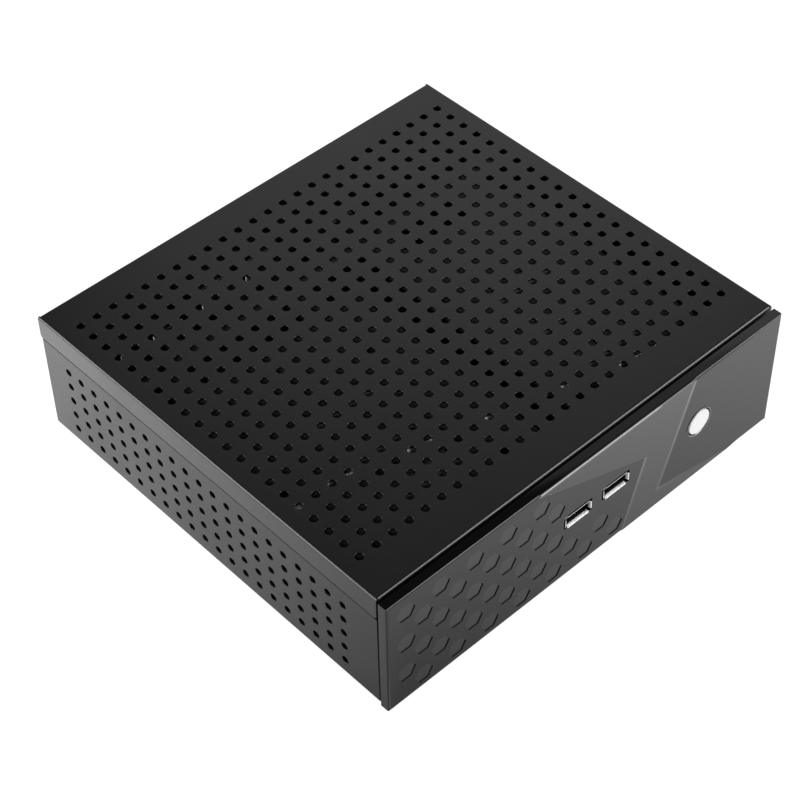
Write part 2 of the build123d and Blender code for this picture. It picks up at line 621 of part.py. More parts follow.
with BuildPart() as fan_rotor:
    hub_radius, hub_wall = 15.0, 1.4
    hub_bottom, hub_top = HEATSINK_TOP + 2.2, FAN_TOP - 0.6
    with Locations((CPU_X, CPU_Y, hub_bottom)):
        Cylinder(hub_radius, hub_top - hub_bottom, align=BOTTOM_UP)
        Cylinder(hub_radius - hub_wall, hub_top - hub_bottom - hub_wall, align=BOTTOM_UP, mode=Mode.SUBTRACT)
    with Locations((CPU_X, CPU_Y, hub_top - hub_wall)):
        Cylinder(SHAFT_RADIUS, hub_top - hub_wall - HEATSINK_TOP - 0.3, align=TOP_DOWN)
    # seven pitched blades, each lofted from the hub outwards
    blade_middle = (hub_bottom + hub_top) / 2
    for index in range(7):
        angle = index * 2 * math.pi / 7
        outward = (math.cos(angle), math.sin(angle), 0)
        for radius, chord, pitch in ((hub_radius - 0.5, 9.0, 42), (35.8, 13.5, 28)):
            start = (CPU_X + radius * outward[0], CPU_Y + radius * outward[1], blade_middle)
            sideways = (-outward[1], outward[0], 0)
            with BuildSketch(Plane(origin=start, x_dir=sideways, z_dir=outward)):
                Rectangle(chord, 1.1, rotation=pitch)
        loft()

with BuildPart() as fan_screws:
    with Locations(*[(x, y, FAN_TOP) for x, y in FAN_HOLES]):
        screw(2.9, 1.6, M3, FAN_THICK + 6)


# ---------------------------------------------------------------- memory, storage and small board parts
MEMORY_X = (60.5, 70.5)
SLOT_WIDTH, SLOT_LENGTH, SLOT_TOP = 6.5, 140.0, BOARD_TOP + 8.6
MODULE_LENGTH, MODULE_THICK, MODULE_TOP = 133.35, 1.3, BOARD_TOP + 32.0
MEMORY_Y = -2.0
CHIPSET_X = -56.0


def memory_slot(x):
    """Socket for one upright memory module, with a raised latch at each end."""
    block(around(x, SLOT_WIDTH), around(MEMORY_Y, SLOT_LENGTH), (BOARD_TOP, SLOT_TOP))
    for end in (-1, 1):
        block(around(x, SLOT_WIDTH), around(MEMORY_Y + end * 68.6, 2.6), (SLOT_TOP, SLOT_TOP + 9))
    block(
        around(x, MODULE_THICK + 0.1),
        around(MEMORY_Y, MODULE_LENGTH + 0.2),
        (BOARD_TOP + 2.5, SLOT_TOP + 20),
        Mode.SUBTRACT,
    )


def memory_module(x):
    """One upright memory module: thin board with eight chips on its left face."""
    block(around(x, MODULE_THICK), around(MEMORY_Y, MODULE_LENGTH), (BOARD_TOP + 2.6, MODULE_TOP))
    left_face = x - MODULE_THICK / 2
    for index in range(8):
        y = MEMORY_Y - 56 + index * 16
        block((left_face - 0.9, left_face), around(y, 11), (SLOT_TOP + 6, SLOT_TOP + 17))


with BuildPart() as memory_slot_inner:
    memory_slot(MEMORY_X[0])

with BuildPart() as memory_slot_outer:
    memory_slot(MEMORY_X[1])

with BuildPart() as memory_module_inner:
    memory_module(MEMORY_X[0])

with BuildPart() as memory_module_outer:
    memory_module(MEMORY_X[1])

with BuildPart() as m2_drive:
    block((-72, 4), around(-56, 22), (BOARD_TOP + 2.2, BOARD_TOP + 3.0))
    for x in (-58, -38, -14):
        block(around(x, 13), around(-56, 14), (BOARD_TOP + 3.0, BOARD_TOP + 4.2))
    with Locations((-72, -56, BOARD_TOP)):
        Cylinder(1.6, 12, mode=Mode.SUBTRACT)

with BuildPart() as m2_socket:
    block((-1, 9), around(-56, 24), (BOARD_TOP, BOARD_TOP + 4.2))
    block((-2, 4.1), around(-56, 22.2), (BOARD_TOP + 2.1, BOARD_TOP + 3.1), Mode.SUBTRACT)

with BuildPart() as chipset_heatsink:
    block(around(CHIPSET_X, 32), around(-22, 32), (BOARD_TOP, BOARD_TOP + 2.5))
    with Locations((CHIPSET_X, -22, BOARD_TOP + 2.5)):
        with GridLocations(4.4, 1, 7, 1):
            Box(1.6, 32, 7, align=BOTTOM_UP)

with BuildPart() as battery_holder:
    with Locations((-62, 8, BOARD_TOP)):
        Cylinder(12.0, 5.0, align=BOTTOM_UP)
    with Locations((-62, 8, BOARD_TOP + 1.6)):
        Cylinder(10.1, 6, align=BOTTOM_UP, mode=Mode.SUBTRACT)

with BuildPart() as coin_cell:
    with Locations((-62, 8, BOARD_TOP + 1.6)):
        Cylinder(10.0, 2.6, align=BOTTOM_UP)
        Cylinder(8.8, 3.2, align=BOTTOM_UP)

with BuildPart() as board_capacitors:
    for column in range(5):
        with Locations((-30 + column * 9, 72.5, BOARD_TOP)):
            Cylinder(3.15, 8, align=BOTTOM_UP)
    for row in range(3):
        with Locations((52.0, -30 - row * 11, BOARD_TOP)):
            Cylinder(3.15, 8, align=BOTTOM_UP)

SATA_X = -60.0
SATA_Y = {"left": 38.0, "right": 52.0}


def sata_port(y):
    """Upright data and power socket with a keyed slot."""
    block(around(SATA_X, 17), around(y, 7), (BOARD_TOP, BOARD_TOP + 9))
    block(around(SATA_X, 13), around(y, 3), (BOARD_TOP + 3, BOARD_TOP + 10), Mode.SUBTRACT)


with BuildPart() as sata_port_left:
    sata_port(SATA_Y["left"])

with BuildPart() as sata_port_right:
    sata_port(SATA_Y["right"])


# ---------------------------------------------------------------- rear ports
PORT_FACE = WALL_REAR + 0.4
PORT_INNER = 77.0


def shield_opening(x, width, z, height):
    """Cuts the shield for one port, with a little clearance."""
    block(around(x, width + 0.6), (WALL_REAR - 2, WALL_REAR + 1), around(z, height + 0.6), Mode.SUBTRACT)


def port_box(x, width, height, depth=PORT_FACE - PORT_INNER):
    """Outer box of one rear port, standing on the board and reaching through the shield."""
    block(around(x, width), (PORT_FACE - depth, PORT_FACE), (BOARD_TOP, BOARD_TOP + height))


def mouth(x, width, z, height, depth):
    """Cuts the opening of one rear socket."""
    block(around(x, width), (PORT_FACE - depth, PORT_FACE + 1), around(z, height), Mode.SUBTRACT)


REAR_PORTS = {
    "dc": (-66.0, 9.0, 11.0),
    "hdmi": (-46.0, 15.0, 6.2),
    "usb_left": (-20.0, 14.0, 15.6),
    "usb_right": (4.0, 14.0, 15.6),
    "lan": (28.0, 16.0, 13.6),
    "display": (52.0, 18.0, 7.4),
}
JACK_BORE_DEPTH = 10.0
JACK_PIN_RECESS = 1.0


def usb_stack(name):
    """Two stacked sockets in one metal can, each with its tongue."""
    x, width, height = REAR_PORTS[name]
    port_box(x, width, height)
    for level in (4.1, 11.5):
        mouth(x, 12.5, BOARD_TOP + level, 5.1, 12)
        block(
            around(x, 11.1), (PORT_FACE - 12, PORT_FACE - 1.5), around(BOARD_TOP + level + 0.9, 1.84)
        )


with BuildPart() as io_shield:
    shield_y = (WALL_REAR - 0.5, WALL_REAR)
    block(
        around(APERTURE_X, APERTURE_WIDTH - 0.2), shield_y, around(APERTURE_Z, APERTURE_HEIGHT - 0.2)
    )
    for x, width, height in REAR_PORTS.values():
        shield_opening(x, width, BOARD_TOP + height / 2, height)

with BuildPart() as dc_jack:
    x, width, height = REAR_PORTS["dc"]
    port_box(x, width, height, 14)
    with Locations(toward(x, PORT_FACE, BOARD_TOP + 6.4, (0, 1, 0))):
        Cylinder(3.15, JACK_BORE_DEPTH, align=TOP_DOWN, mode=Mode.SUBTRACT)
    with Locations(toward(x, PORT_FACE - JACK_PIN_RECESS, BOARD_TOP + 6.4, (0, 1, 0))):
        Cylinder(1.0, JACK_BORE_DEPTH, align=TOP_DOWN)

with BuildPart() as hdmi_port:
    x, width, height = REAR_PORTS["hdmi"]
    port_box(x, width, height, 12)
    mouth(x, 13.9, BOARD_TOP + height / 2, 4.5, 9)
    block(around(x, 11), (PORT_FACE - 9, PORT_FACE - 2), around(BOARD_TOP + height / 2, 1.2))

with BuildPart() as rear_usb_stack_left:
    usb_stack("usb_left")

with BuildPart() as rear_usb_stack_right:
    usb_stack("usb_right")

with BuildPart() as lan_jack:
    x, width, height = REAR_PORTS["lan"]
    port_box(x, width, height)
    mouth(x, 12.0, BOARD_TOP + 7.6, 8.0, 14)
    mouth(x, 5.5, BOARD_TOP + 2.7, 2.6, 14)

with BuildPart() as display_port:
    x, width, height = REAR_PORTS["display"]
    port_box(x, width, height, 16)
    mouth(x, 16.2, BOARD_TOP + height / 2, 4.9, 12)
    # one lower corner of the mouth is filled as a key
    block(
        (x + 6.9, x + 8.1),
        (PORT_FACE - 12, PORT_FACE),
        (BOARD_TOP + height / 2 - 2.45, BOARD_TOP + height / 2 - 1.2),
    )
    block(around(x, 13.4), (PORT_FACE - 12, PORT_FACE - 2), around(BOARD_TOP + height / 2 + 0.4, 1.1))


# ---------------------------------------------------------------- cables
def cable(points, radius, bend=3.0):
    """Round cable along straight runs with rounded bends, added to the open part."""
    with BuildLine() as route:
        path = FilletPolyline(*points, radius=bend)
    with BuildSketch(Plane(origin=path @ 0, z_dir=path % 0)) as section:
        Circle(radius)
    sweep(section.sketch, path=route.line)


def drive_cable(side, bends):
    """Cable from the drive's rear connector to its port on the board, with a plug at each end."""
    drive_x, port_y = DRIVE_X[side], SATA_Y[side]
    plug_z = SHELF - DRIVE_THICK + 3.2
    block(around(drive_x, 40), (DRIVE_REAR + 0.1, DRIVE_REAR + 8), around(plug_z, 5.4))
    block(around(SATA_X, 15), around(port_y, 6), (BOARD_TOP + 9.1, BOARD_TOP + 19))
    block(around(SATA_X, 12.6), around(port_y, 2.6), (BOARD_TOP + 4, BOARD_TOP + 9.1))
    start = (drive_x, DRIVE_REAR + 7, plug_z)
    end = (SATA_X, port_y, BOARD_TOP + 18)
    cable([start, *bends, end], 1.7, 4.0)


with BuildPart() as drive_cable_left:
    drive_cable("left", [(-53, 30, 50), (-58, 37, 42)])

with BuildPart() as drive_cable_right:
    drive_cable("right", [(38, 33, 47.5), (0, 37, 46), (-40, 46, 44), (-57, 51, 40)])

with BuildPart() as front_usb_cable:
    block((-6, 10), (-81, -77.5), (USB_BOARD_TOP + 0.05, USB_BOARD_TOP + 6))
    block((20, 30), (-70, -65), (BOARD_TOP + 0.05, BOARD_TOP + 9))
    cable([(2, -78, USB_BOARD_TOP + 3), (6, -72.5, 34), (20, -68, 28), (25, -67.5, 19)], 1.9)

with BuildPart() as power_lead:
    block(around(BUTTON_X, 8), (SWITCH_BOARD_FRONT + 1.25, -90.5), around(PORT_Z, 4))
    block((-84, -76), (-40, -35), (BOARD_TOP + 0.05, BOARD_TOP + 9))
    lead_z = BRACKET_TOP + 2.2
    cable(
        [
            (BUTTON_X, -90.8, PORT_Z),
            (90, -84, 40),
            (93, -82, lead_z),
            (48, -76, lead_z),
            (-94.5, -38, lead_z),
            (-94.5, -38, 24),
            (-80, -38, 22),
            (-80, -37.5, BOARD_TOP + 7.5),
        ],
        0.9,
    )

with BuildPart() as fan_cable:
    block((-46, -40), (66, 72), (BOARD_TOP + 0.05, BOARD_TOP + 7))
    start = (CPU_X - 38, CPU_Y + 41.2, HEATSINK_TOP + 4)
    cable([start, (-37, 67, 28), (-43, 69, 22), (-43, 69, BOARD_TOP + 6)], 0.9, 2.0)


# ---------------------------------------------------------------- export
PIECES = {
    "chassis_tray": chassis_tray,
    "lid": lid,
    "rubber_feet": rubber_feet,
    "lid_screws": lid_screws,
    "io_shield": io_shield,
    "front_bezel": front_bezel,
    "bezel_screws": bezel_screws,
    "button_ring": button_ring,
    "power_button": power_button,
    "tactile_switch": tactile_switch,
    "switch_plunger": switch_plunger,
    "switch_board": switch_board,
    "status_led": status_led,
    "switch_board_screws": switch_board_screws,
    "front_usb_shell_left": front_usb_shell_left,
    "front_usb_shell_right": front_usb_shell_right,
    "front_usb_insert_left": front_usb_insert_left,
    "front_usb_insert_right": front_usb_insert_right,
    "front_usb_contacts": front_usb_contacts,
    "front_usb_board": front_usb_board,
    "usb_board_screws": usb_board_screws,
    "cross_brace": cross_brace,
    "drive_bracket_left": drive_bracket_left,
    "drive_bracket_right": drive_bracket_right,
    "bracket_screws": bracket_screws,
    "drive_left": drive_left,
    "drive_right": drive_right,
    "drive_screws": drive_screws,
    "motherboard": motherboard,
    "board_standoffs": board_standoffs,
    "board_screws": board_screws,
    "cpu_socket": cpu_socket,
    "processor": processor,
    "heatsink": heatsink,
    "fan_frame": fan_frame,
    "fan_rotor": fan_rotor,
    "fan_screws": fan_screws,
    "memory_slot_inner": memory_slot_inner,
    "memory_slot_outer": memory_slot_outer,
    "memory_module_inner": memory_module_inner,
    "memory_module_outer": memory_module_outer,
    "m2_drive": m2_drive,
    "m2_socket": m2_socket,
    "chipset_heatsink": chipset_heatsink,
    "battery_holder": battery_holder,
    "coin_cell": coin_cell,
    "board_capacitors": board_capacitors,
    "sata_port_left": sata_port_left,
    "sata_port_right": sata_port_right,
    "dc_jack": dc_jack,
    "hdmi_port": hdmi_port,
    "rear_usb_stack_left": rear_usb_stack_left,
    "rear_usb_stack_right": rear_usb_stack_right,
    "lan_jack": lan_jack,
    "display_port": display_port,
    "drive_cable_left": drive_cable_left,
    "drive_cable_right": drive_cable_right,
    "front_usb_cable": front_usb_cable,
    "power_lead": power_lead,
    "fan_cable": fan_cable,
}

os.makedirs("parts", exist_ok=True)
for name, piece in PIECES.items():
    piece.part.label = name
    export_step(piece.part, f"parts/{name}.step")
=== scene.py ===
"""Mini PC: finer sheet metal, front panel, sockets and button around the fixed frame.

Shapes are worked out in millimetres in the frame of the CAD model and written to meshes in metres.
+Z is up, the front panel faces -Y and +X is to the right when looking at the front.
"""

import json
import math

import bmesh
import bpy
import numpy as np
from mathutils import Matrix, Vector
from mathutils.geometry import delaunay_2d_cdt


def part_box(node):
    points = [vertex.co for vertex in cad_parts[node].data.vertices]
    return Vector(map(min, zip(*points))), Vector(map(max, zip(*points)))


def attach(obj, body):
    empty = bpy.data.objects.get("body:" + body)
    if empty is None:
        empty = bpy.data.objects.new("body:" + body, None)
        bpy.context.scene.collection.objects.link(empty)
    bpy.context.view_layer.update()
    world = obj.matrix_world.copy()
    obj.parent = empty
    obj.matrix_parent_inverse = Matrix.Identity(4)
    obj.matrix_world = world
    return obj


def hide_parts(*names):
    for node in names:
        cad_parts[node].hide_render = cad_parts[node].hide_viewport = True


MM = 0.001
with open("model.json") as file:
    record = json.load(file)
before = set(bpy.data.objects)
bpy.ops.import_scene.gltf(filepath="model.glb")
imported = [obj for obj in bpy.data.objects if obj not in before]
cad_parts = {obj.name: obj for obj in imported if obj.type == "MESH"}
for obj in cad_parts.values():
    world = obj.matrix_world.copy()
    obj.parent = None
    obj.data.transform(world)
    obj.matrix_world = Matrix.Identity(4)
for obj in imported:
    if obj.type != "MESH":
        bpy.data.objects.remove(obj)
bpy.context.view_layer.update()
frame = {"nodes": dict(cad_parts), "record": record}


def box_mm(node):
    """Lowest and highest corner of a CAD node in millimetres."""
    low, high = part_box(node)
    return low / MM, high / MM


def middle_mm(node):
    """Centre of a CAD node's box in millimetres."""
    low, high = box_mm(node)
    return (low + high) / 2


# ---------------------------------------------------------------- sizes, in millimetres
LID_LOW, LID_HIGH = box_mm("lid")
TRAY_LOW, TRAY_HIGH = box_mm("chassis_tray")
PANEL_LOW, PANEL_HIGH = box_mm("front_bezel")

SHEET = 1.0  # thickness of the lid and the tray
BEND = 1.05  # outer bend radius of the lid and the tray
BEND_STEPS = 6
SHEET_EDGE = 0.14  # rounding along cut edges and hole rims
SLIT = 0.2  # saw cut between neighbouring flaps at a corner
FRONT_LIP = 6.0
REAR_LIP = 9.6
SEAM = 0.9  # gap below the lid's lips
TUCK = 0.85  # how far the tray's walls step inwards behind the lips
TUCK_RUN = 0.25  # height over which a wall steps inwards
TUCK_STEPS = 5
FLAP_CORNER = 1.0  # cut corner of the lid's side flaps
LID_SCREW_HEAD = 3.0  # radius
LID_SCREW_NOTCH = 1.7

HOLE_RADIUS = 1.7
HOLE_PITCH = 8.0
HOLE_SIDES = 28
GRID_Y = LID_LOW.y + 98.35
SIDE_GRID_Z = LID_HIGH.z - 35.8

WALL_FRONT = LID_LOW.y + 1.2
SIDE_STEP = LID_LOW.z - SEAM
REAR_STEP = LID_HIGH.z - REAR_LIP - SEAM

PANEL_SKIN = 2.4
PANEL_FRONT = PANEL_LOW.y
PANEL_BACK = PANEL_FRONT + 4.7
PANEL_INSIDE = PANEL_FRONT + PANEL_SKIN
PANEL_ROUND = 1.2
PANEL_HEIGHT = PANEL_HIGH.z - PANEL_LOW.z
RELIEF = 0.4
HEX_FLATS = 8.0
HEX_DEPTH = 0.35
HEX_WALL = 0.06  # width of a hexagon's sloped wall
HEX_STEP = (16.9, 8.6)
HEX_ROWS = (5, 5, 5, 5, 7, 7)
HEX_FIRST = (-96.1, PANEL_LOW.z + 50.5)
BAND_X = 35.0  # on the raised band between the hexagon area and the button area

BUTTON = middle_mm("power_button")
SOCKETS = [middle_mm(f"front_usb_shell_{side}") for side in ("left", "right")]
PROCESSOR = middle_mm("processor")


# ---------------------------------------------------------------- flat patterns
def circle(centre, radius, sides=HOLE_SIDES):
    """Points of a round loop, starting half a step off the axes."""
    turns = [(step + 0.5) * 2 * math.pi / sides for step in range(sides)]
    return [(centre[0] + radius * math.cos(t), centre[1] + radius * math.sin(t)) for t in turns]


def rectangle(centre, width, height, corner=0.0, corner_steps=4):
    """Points of a rectangle, with round corners if a corner radius is given."""
    points = []
    half = (width / 2 - corner, height / 2 - corner)
    for number, (sx, sy) in enumerate(((1, 1), (-1, 1), (-1, -1), (1, -1))):
        steps = range(corner_steps + 1) if corner else (0,)
        for step in steps:
            turn = (number + step / corner_steps) * math.pi / 2
            x = centre[0] + sx * half[0] + corner * math.cos(turn)
            y = centre[1] + sy * half[1] + corner * math.sin(turn)
            points.append((x, y))
    return points


def grid(centre, columns, rows, pitch=HOLE_PITCH):
    """Centres of a square grid of holes."""
    x0 = centre[0] - (columns - 1) * pitch / 2
    y0 = centre[1] - (rows - 1) * pitch / 2
    return [(x0 + i * pitch, y0 + j * pitch) for i in range(columns) for j in range(rows)]


def inside(points, loops):
    """For each point, whether it lies inside an odd number of the loops."""
    order = np.argsort(points[:, 1])
    levels = points[order, 1]
    crossings = np.zeros(len(points), int)
    for loop in loops:
        for (u0, v0), (u1, v1) in zip(loop, loop[1:] + loop[:1]):
            low, high = min(v0, v1), max(v0, v1)
            some = order[np.searchsorted(levels, low):np.searchsorted(levels, high)]
            if len(some):
                at = u0 + (points[some, 1] - v0) * (u1 - u0) / (v1 - v0)
                crossings[some] += points[some, 0] < at
    return crossings % 2 == 1


class Pattern:
    """A flat area between loops, cut into triangles, with the given creases as edges."""

    def __init__(self, loops, creases=()):
        points, edges = [], []
        for line, closed in [(loop, True) for loop in loops] + [(crease, False) for crease in creases]:
            first, count = len(points), len(line)
            points += [Vector(point) for point in line]
            edges += [(first + i, first + (i + 1) % count) for i in range(count if closed else count - 1)]
        flat, _, faces, *_ = delaunay_2d_cdt(points, edges, [], 0, 1e-7)
        self.points = np.array([tuple(point) for point in flat])
        triangles = np.array([face for face in faces if len(face) == 3])
        kept = inside(self.points[triangles].mean(axis=1), loops)
        a, b, c = (self.points[triangles[:, i]] for i in range(3))
        area = (b[:, 0] - a[:, 0]) * (c[:, 1] - a[:, 1]) - (b[:, 1] - a[:, 1]) * (c[:, 0] - a[:, 0])
        triangles[area < 0] = triangles[area < 0][:, ::-1]
        self.triangles = [tuple(int(i) for i in t) for t in triangles[kept & (abs(area) > 1e-9)]]
        directed = {(t[i], t[(i + 1) % 3]) for t in self.triangles for i in range(3)}
        self.rim = {a: b for a, b in directed if (b, a) not in directed}

    def outward(self):
        """For each rim vertex, the step that moves both of its rim edges out by one."""
        steps = {}
        before = {b: a for a, b in self.rim.items()}
        for vertex, following in self.rim.items():
            came = self.points[vertex] - self.points[before[vertex]]
            goes = self.points[following] - self.points[vertex]
            first = np.array((came[1], -came[0])) / np.hypot(*came)
            second = np.array((goes[1], -goes[0])) / np.hypot(*goes)
            steps[vertex] = (first + second) / max(1 + first @ second, 0.3)
        return steps

    def rim_loops(self):
        """The rim's vertices, loop by loop, the longest loop first."""
        left, loops = dict(self.rim), []
        while left:
            vertex = next(iter(left))
            loop = []
            while vertex in left:
                loop.append(vertex)
                vertex = left.pop(vertex)
            loops.append(loop)
        return sorted(loops, key=lambda loop: -np.ptp(self.points[loop], axis=0).sum())


# ---------------------------------------------------------------- meshes
class Shell:
    """Collects faces given by their corner points and welds corners that coincide."""

    def __init__(self):
        self.points, self.faces, self.index = [], [], {}

    def vertex(self, point):
        key = tuple(round(value, 4) for value in point)
        if key not in self.index:
            self.index[key] = len(self.points)
            self.points.append(tuple(point))
        return self.index[key]

    def face(self, corners):
        indices = [self.vertex(corner) for corner in corners]
        slim = [v for i, v in enumerate(indices) if v != indices[i - 1]]
        if len(slim) > 2:
            self.faces.append(slim)

    def band(self, lower, upper):
        """Quads between two closed loops of equally many points."""
        for i in range(len(lower)):
            j = (i + 1) % len(lower)
            self.face((lower[i], lower[j], upper[j], upper[i]))

    def piece(self, name, slot, body, replaced, sharp=50):
        """Makes the Blender object and puts it in place of its CAD nodes."""
        mesh = bpy.data.meshes.new(name)
        mesh.from_pydata([[value * MM for value in point] for point in self.points], [], self.faces)
        mesh.validate()
        whole = bmesh.new()
        whole.from_mesh(mesh)
        bmesh.ops.recalc_face_normals(whole, faces=whole.faces)
        whole.to_mesh(mesh)
        whole.free()
        mesh.polygons.foreach_set("use_smooth", [True] * len(mesh.polygons))
        mesh.set_sharp_from_angle(angle=math.radians(sharp))
        mesh.materials.append(MATERIALS[slot].material)
        made = bpy.data.objects.new(name, mesh)
        bpy.context.scene.collection.objects.link(made)
        weighted = made.modifiers.new("weighted", "WEIGHTED_NORMAL")
        weighted.keep_sharp = True
        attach(made, body)
        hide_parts(*replaced)


def rounded_edge(thickness, edge):
    """(outward, depth) steps around a sheet's cut edge, from its outer face to its inner face."""
    near = [(0.0, 0.0), (0.7 * edge, 0.3 * edge), (edge, edge)]
    far = [(out, thickness - depth) for out, depth in reversed(near)]
    return near + far


def add_sheet(shell, pattern, place, thickness, edge):
    """Adds a closed sheet to the shell: two faces and the rounded rim between them."""
    points = pattern.points
    for a, b, c in pattern.triangles:
        shell.face([place(*points[i], 0.0) for i in (a, b, c)])
        shell.face([place(*points[i], thickness) for i in (c, b, a)])
    outward = pattern.outward()
    steps = rounded_edge(thickness, edge)
    rings = {}
    for vertex, step in outward.items():
        rings[vertex] = [place(*(points[vertex] + step * out), depth) for out, depth in steps]
    for a, b in pattern.rim.items():
        for level in range(len(steps) - 1):
            shell.face((rings[b][level], rings[a][level], rings[a][level + 1], rings[b][level + 1]))


def walk(distance, depth, legs, radius):
    """Where a point of a strip lands after the strip is folded by a right angle behind each leg.

    Distance runs along the outer face and depth goes in from it. Returns (out, in) from the start.
    """
    position, heading, inward = Vector((0, 0)), Vector((1, 0)), Vector((0, 1))
    arc = radius * math.pi / 2
    for leg in legs:
        if distance <= leg:
            break
        distance -= leg
        position = position + heading * leg
        centre = position + inward * radius
        if distance < arc:
            turn = distance / radius
            spoke = heading * math.sin(turn) - inward * math.cos(turn)
            return centre + spoke * (radius - depth)
        distance -= arc
        position = centre + heading * radius
        heading, inward = inward, -heading
    return position + heading * distance + inward * depth


def ease(value):
    """Smooth ramp from 0 to 1."""
    value = min(max(value, 0.0), 1.0)
    return value * value * (3 - 2 * value)


def tuck(rise, level):
    """How far a wall lies inwards at a height, if it steps in just below a level."""
    return TUCK * ease((rise - level) / TUCK_RUN + 1) if level else 0.0


class FoldedBox:
    """A rectangle in the XY plane whose four flaps are folded to one side.

    up is +1 for a tray and -1 for a lid. Side flaps have one fold, end flaps one fold for each leg.
    A step is the distance from the base plane above which the side or rear flaps lie further in.
    """

    def __init__(self, half_width, front, rear, z, up, end_legs=(0.0,), side_step=None, rear_step=None):
        self.front, self.rear, self.z, self.up = front, rear, z, up
        self.end_legs, self.side_step, self.rear_step = end_legs, side_step, rear_step
        self.side_start = half_width - BEND
        self.arc = BEND * math.pi / 2

    def place(self, u, v, depth):
        """Where a point of the flat pattern lands, at a depth below the outer face."""
        if abs(u) > self.side_start - SLIT / 2:
            out, rise = walk(abs(u) - self.side_start, depth, (0.0,), BEND)
            out -= tuck(rise, self.side_step)
            return (math.copysign(self.side_start + out, u), v, self.z + self.up * rise)
        for edge, sign, level in ((self.front, -1, None), (self.rear, 1, self.rear_step)):
            beyond = sign * (v - edge) + BEND
            if beyond > 0:
                out, rise = walk(beyond, depth, self.end_legs, BEND)
                out -= tuck(rise, level)
                return (u, edge - sign * BEND + sign * out, self.z + self.up * rise)
        return (u, v, self.z + self.up * depth)

    def side_u(self, drop):
        """Flat coordinate of a point on a side flap, a given distance from the base plane."""
        return self.side_start + self.arc + drop - BEND

    def end_v(self, edge, drop):
        """Flat coordinate of a point on the front or rear flap."""
        sign = -1 if edge == self.front else 1
        return edge + sign * (self.arc + drop - 2 * BEND)

    def creases(self):
        """Lines across the pattern where it bends or steps inwards."""
        lines = []
        for part in range(TUCK_STEPS + 1):
            reach = TUCK_RUN * (part / TUCK_STEPS - 1)
            if self.side_step:
                u = self.side_u(self.side_step + reach)
                lines += [[(side * u, self.front - 1), (side * u, self.rear + 1)] for side in (-1, 1)]
            if self.rear_step:
                v = self.end_v(self.rear, self.rear_step + reach)
                lines.append([(-self.side_start, v), (self.side_start, v)])
        for step in range(BEND_STEPS + 1):
            along = self.arc * step / BEND_STEPS
            for side in (-1, 1):
                u = side * (self.side_start + along)
                lines.append([(u, self.front - 3), (u, self.rear + 3)])
            for edge, sign in ((self.front, -1), (self.rear, 1)):
                start = 0.0
                for leg in self.end_legs:
                    start += leg
                    v = edge + sign * (start + along - BEND)
                    lines.append([(-self.side_start, v), (self.side_start, v)])
                    start += self.arc
        return lines


def inset(loop, distance):
    """The loop moved into its area by a distance; the loop runs counter-clockwise."""
    moved = []
    for i, point in enumerate(loop):
        came = Vector(point) - Vector(loop[i - 1])
        goes = Vector(loop[(i + 1) % len(loop)]) - Vector(point)
        first = Vector((-came.y, came.x)).normalized()
        second = Vector((-goes.y, goes.x)).normalized()
        step = (first + second) / (1 + first.dot(second))
        moved.append(tuple(Vector(point) + step * distance))
    return moved


def lathe(shell, profile, origin, axis, sides=48):
    """Adds a closed solid of revolution. The profile is (radius, height) along the axis, and it runs
    counter-clockwise with the radius to the right; where it starts and ends at radius 0 it is capped."""
    axis = Vector(axis).normalized()
    across = axis.orthogonal().normalized()
    third = axis.cross(across)
    rings = []
    for radius, height in profile:
        centre = Vector(origin) + axis * height
        turns = [step * 2 * math.pi / sides for step in range(sides)]
        rings.append(
            [centre + (across * math.cos(t) + third * math.sin(t)) * radius for t in turns]
        )
    closed = profile[0][0] > 0
    count = len(rings)
    for i in range(count if closed else count - 1):
        shell.band(rings[i], rings[(i + 1) % count])


def rounded_steps(centre, radius, start, end, steps=4):
    """Points of an arc in a lathe profile, angles in degrees."""
    points = []
    for step in range(steps + 1):
        turn = math.radians(start + (end - start) * step / steps)
        points.append((centre[0] + radius * math.cos(turn), centre[1] + radius * math.sin(turn)))
    return points


# ---------------------------------------------------------------- materials
SEEN_GLOW = 0.85  # light the floor gives off towards the camera
MIRRORED_GLOW = (0.12, 1.7)  # and towards the object, from the front left corner outwards
FRONT_GLOW = 0.5  # growth of that light over the first 50 mm in front of the panel


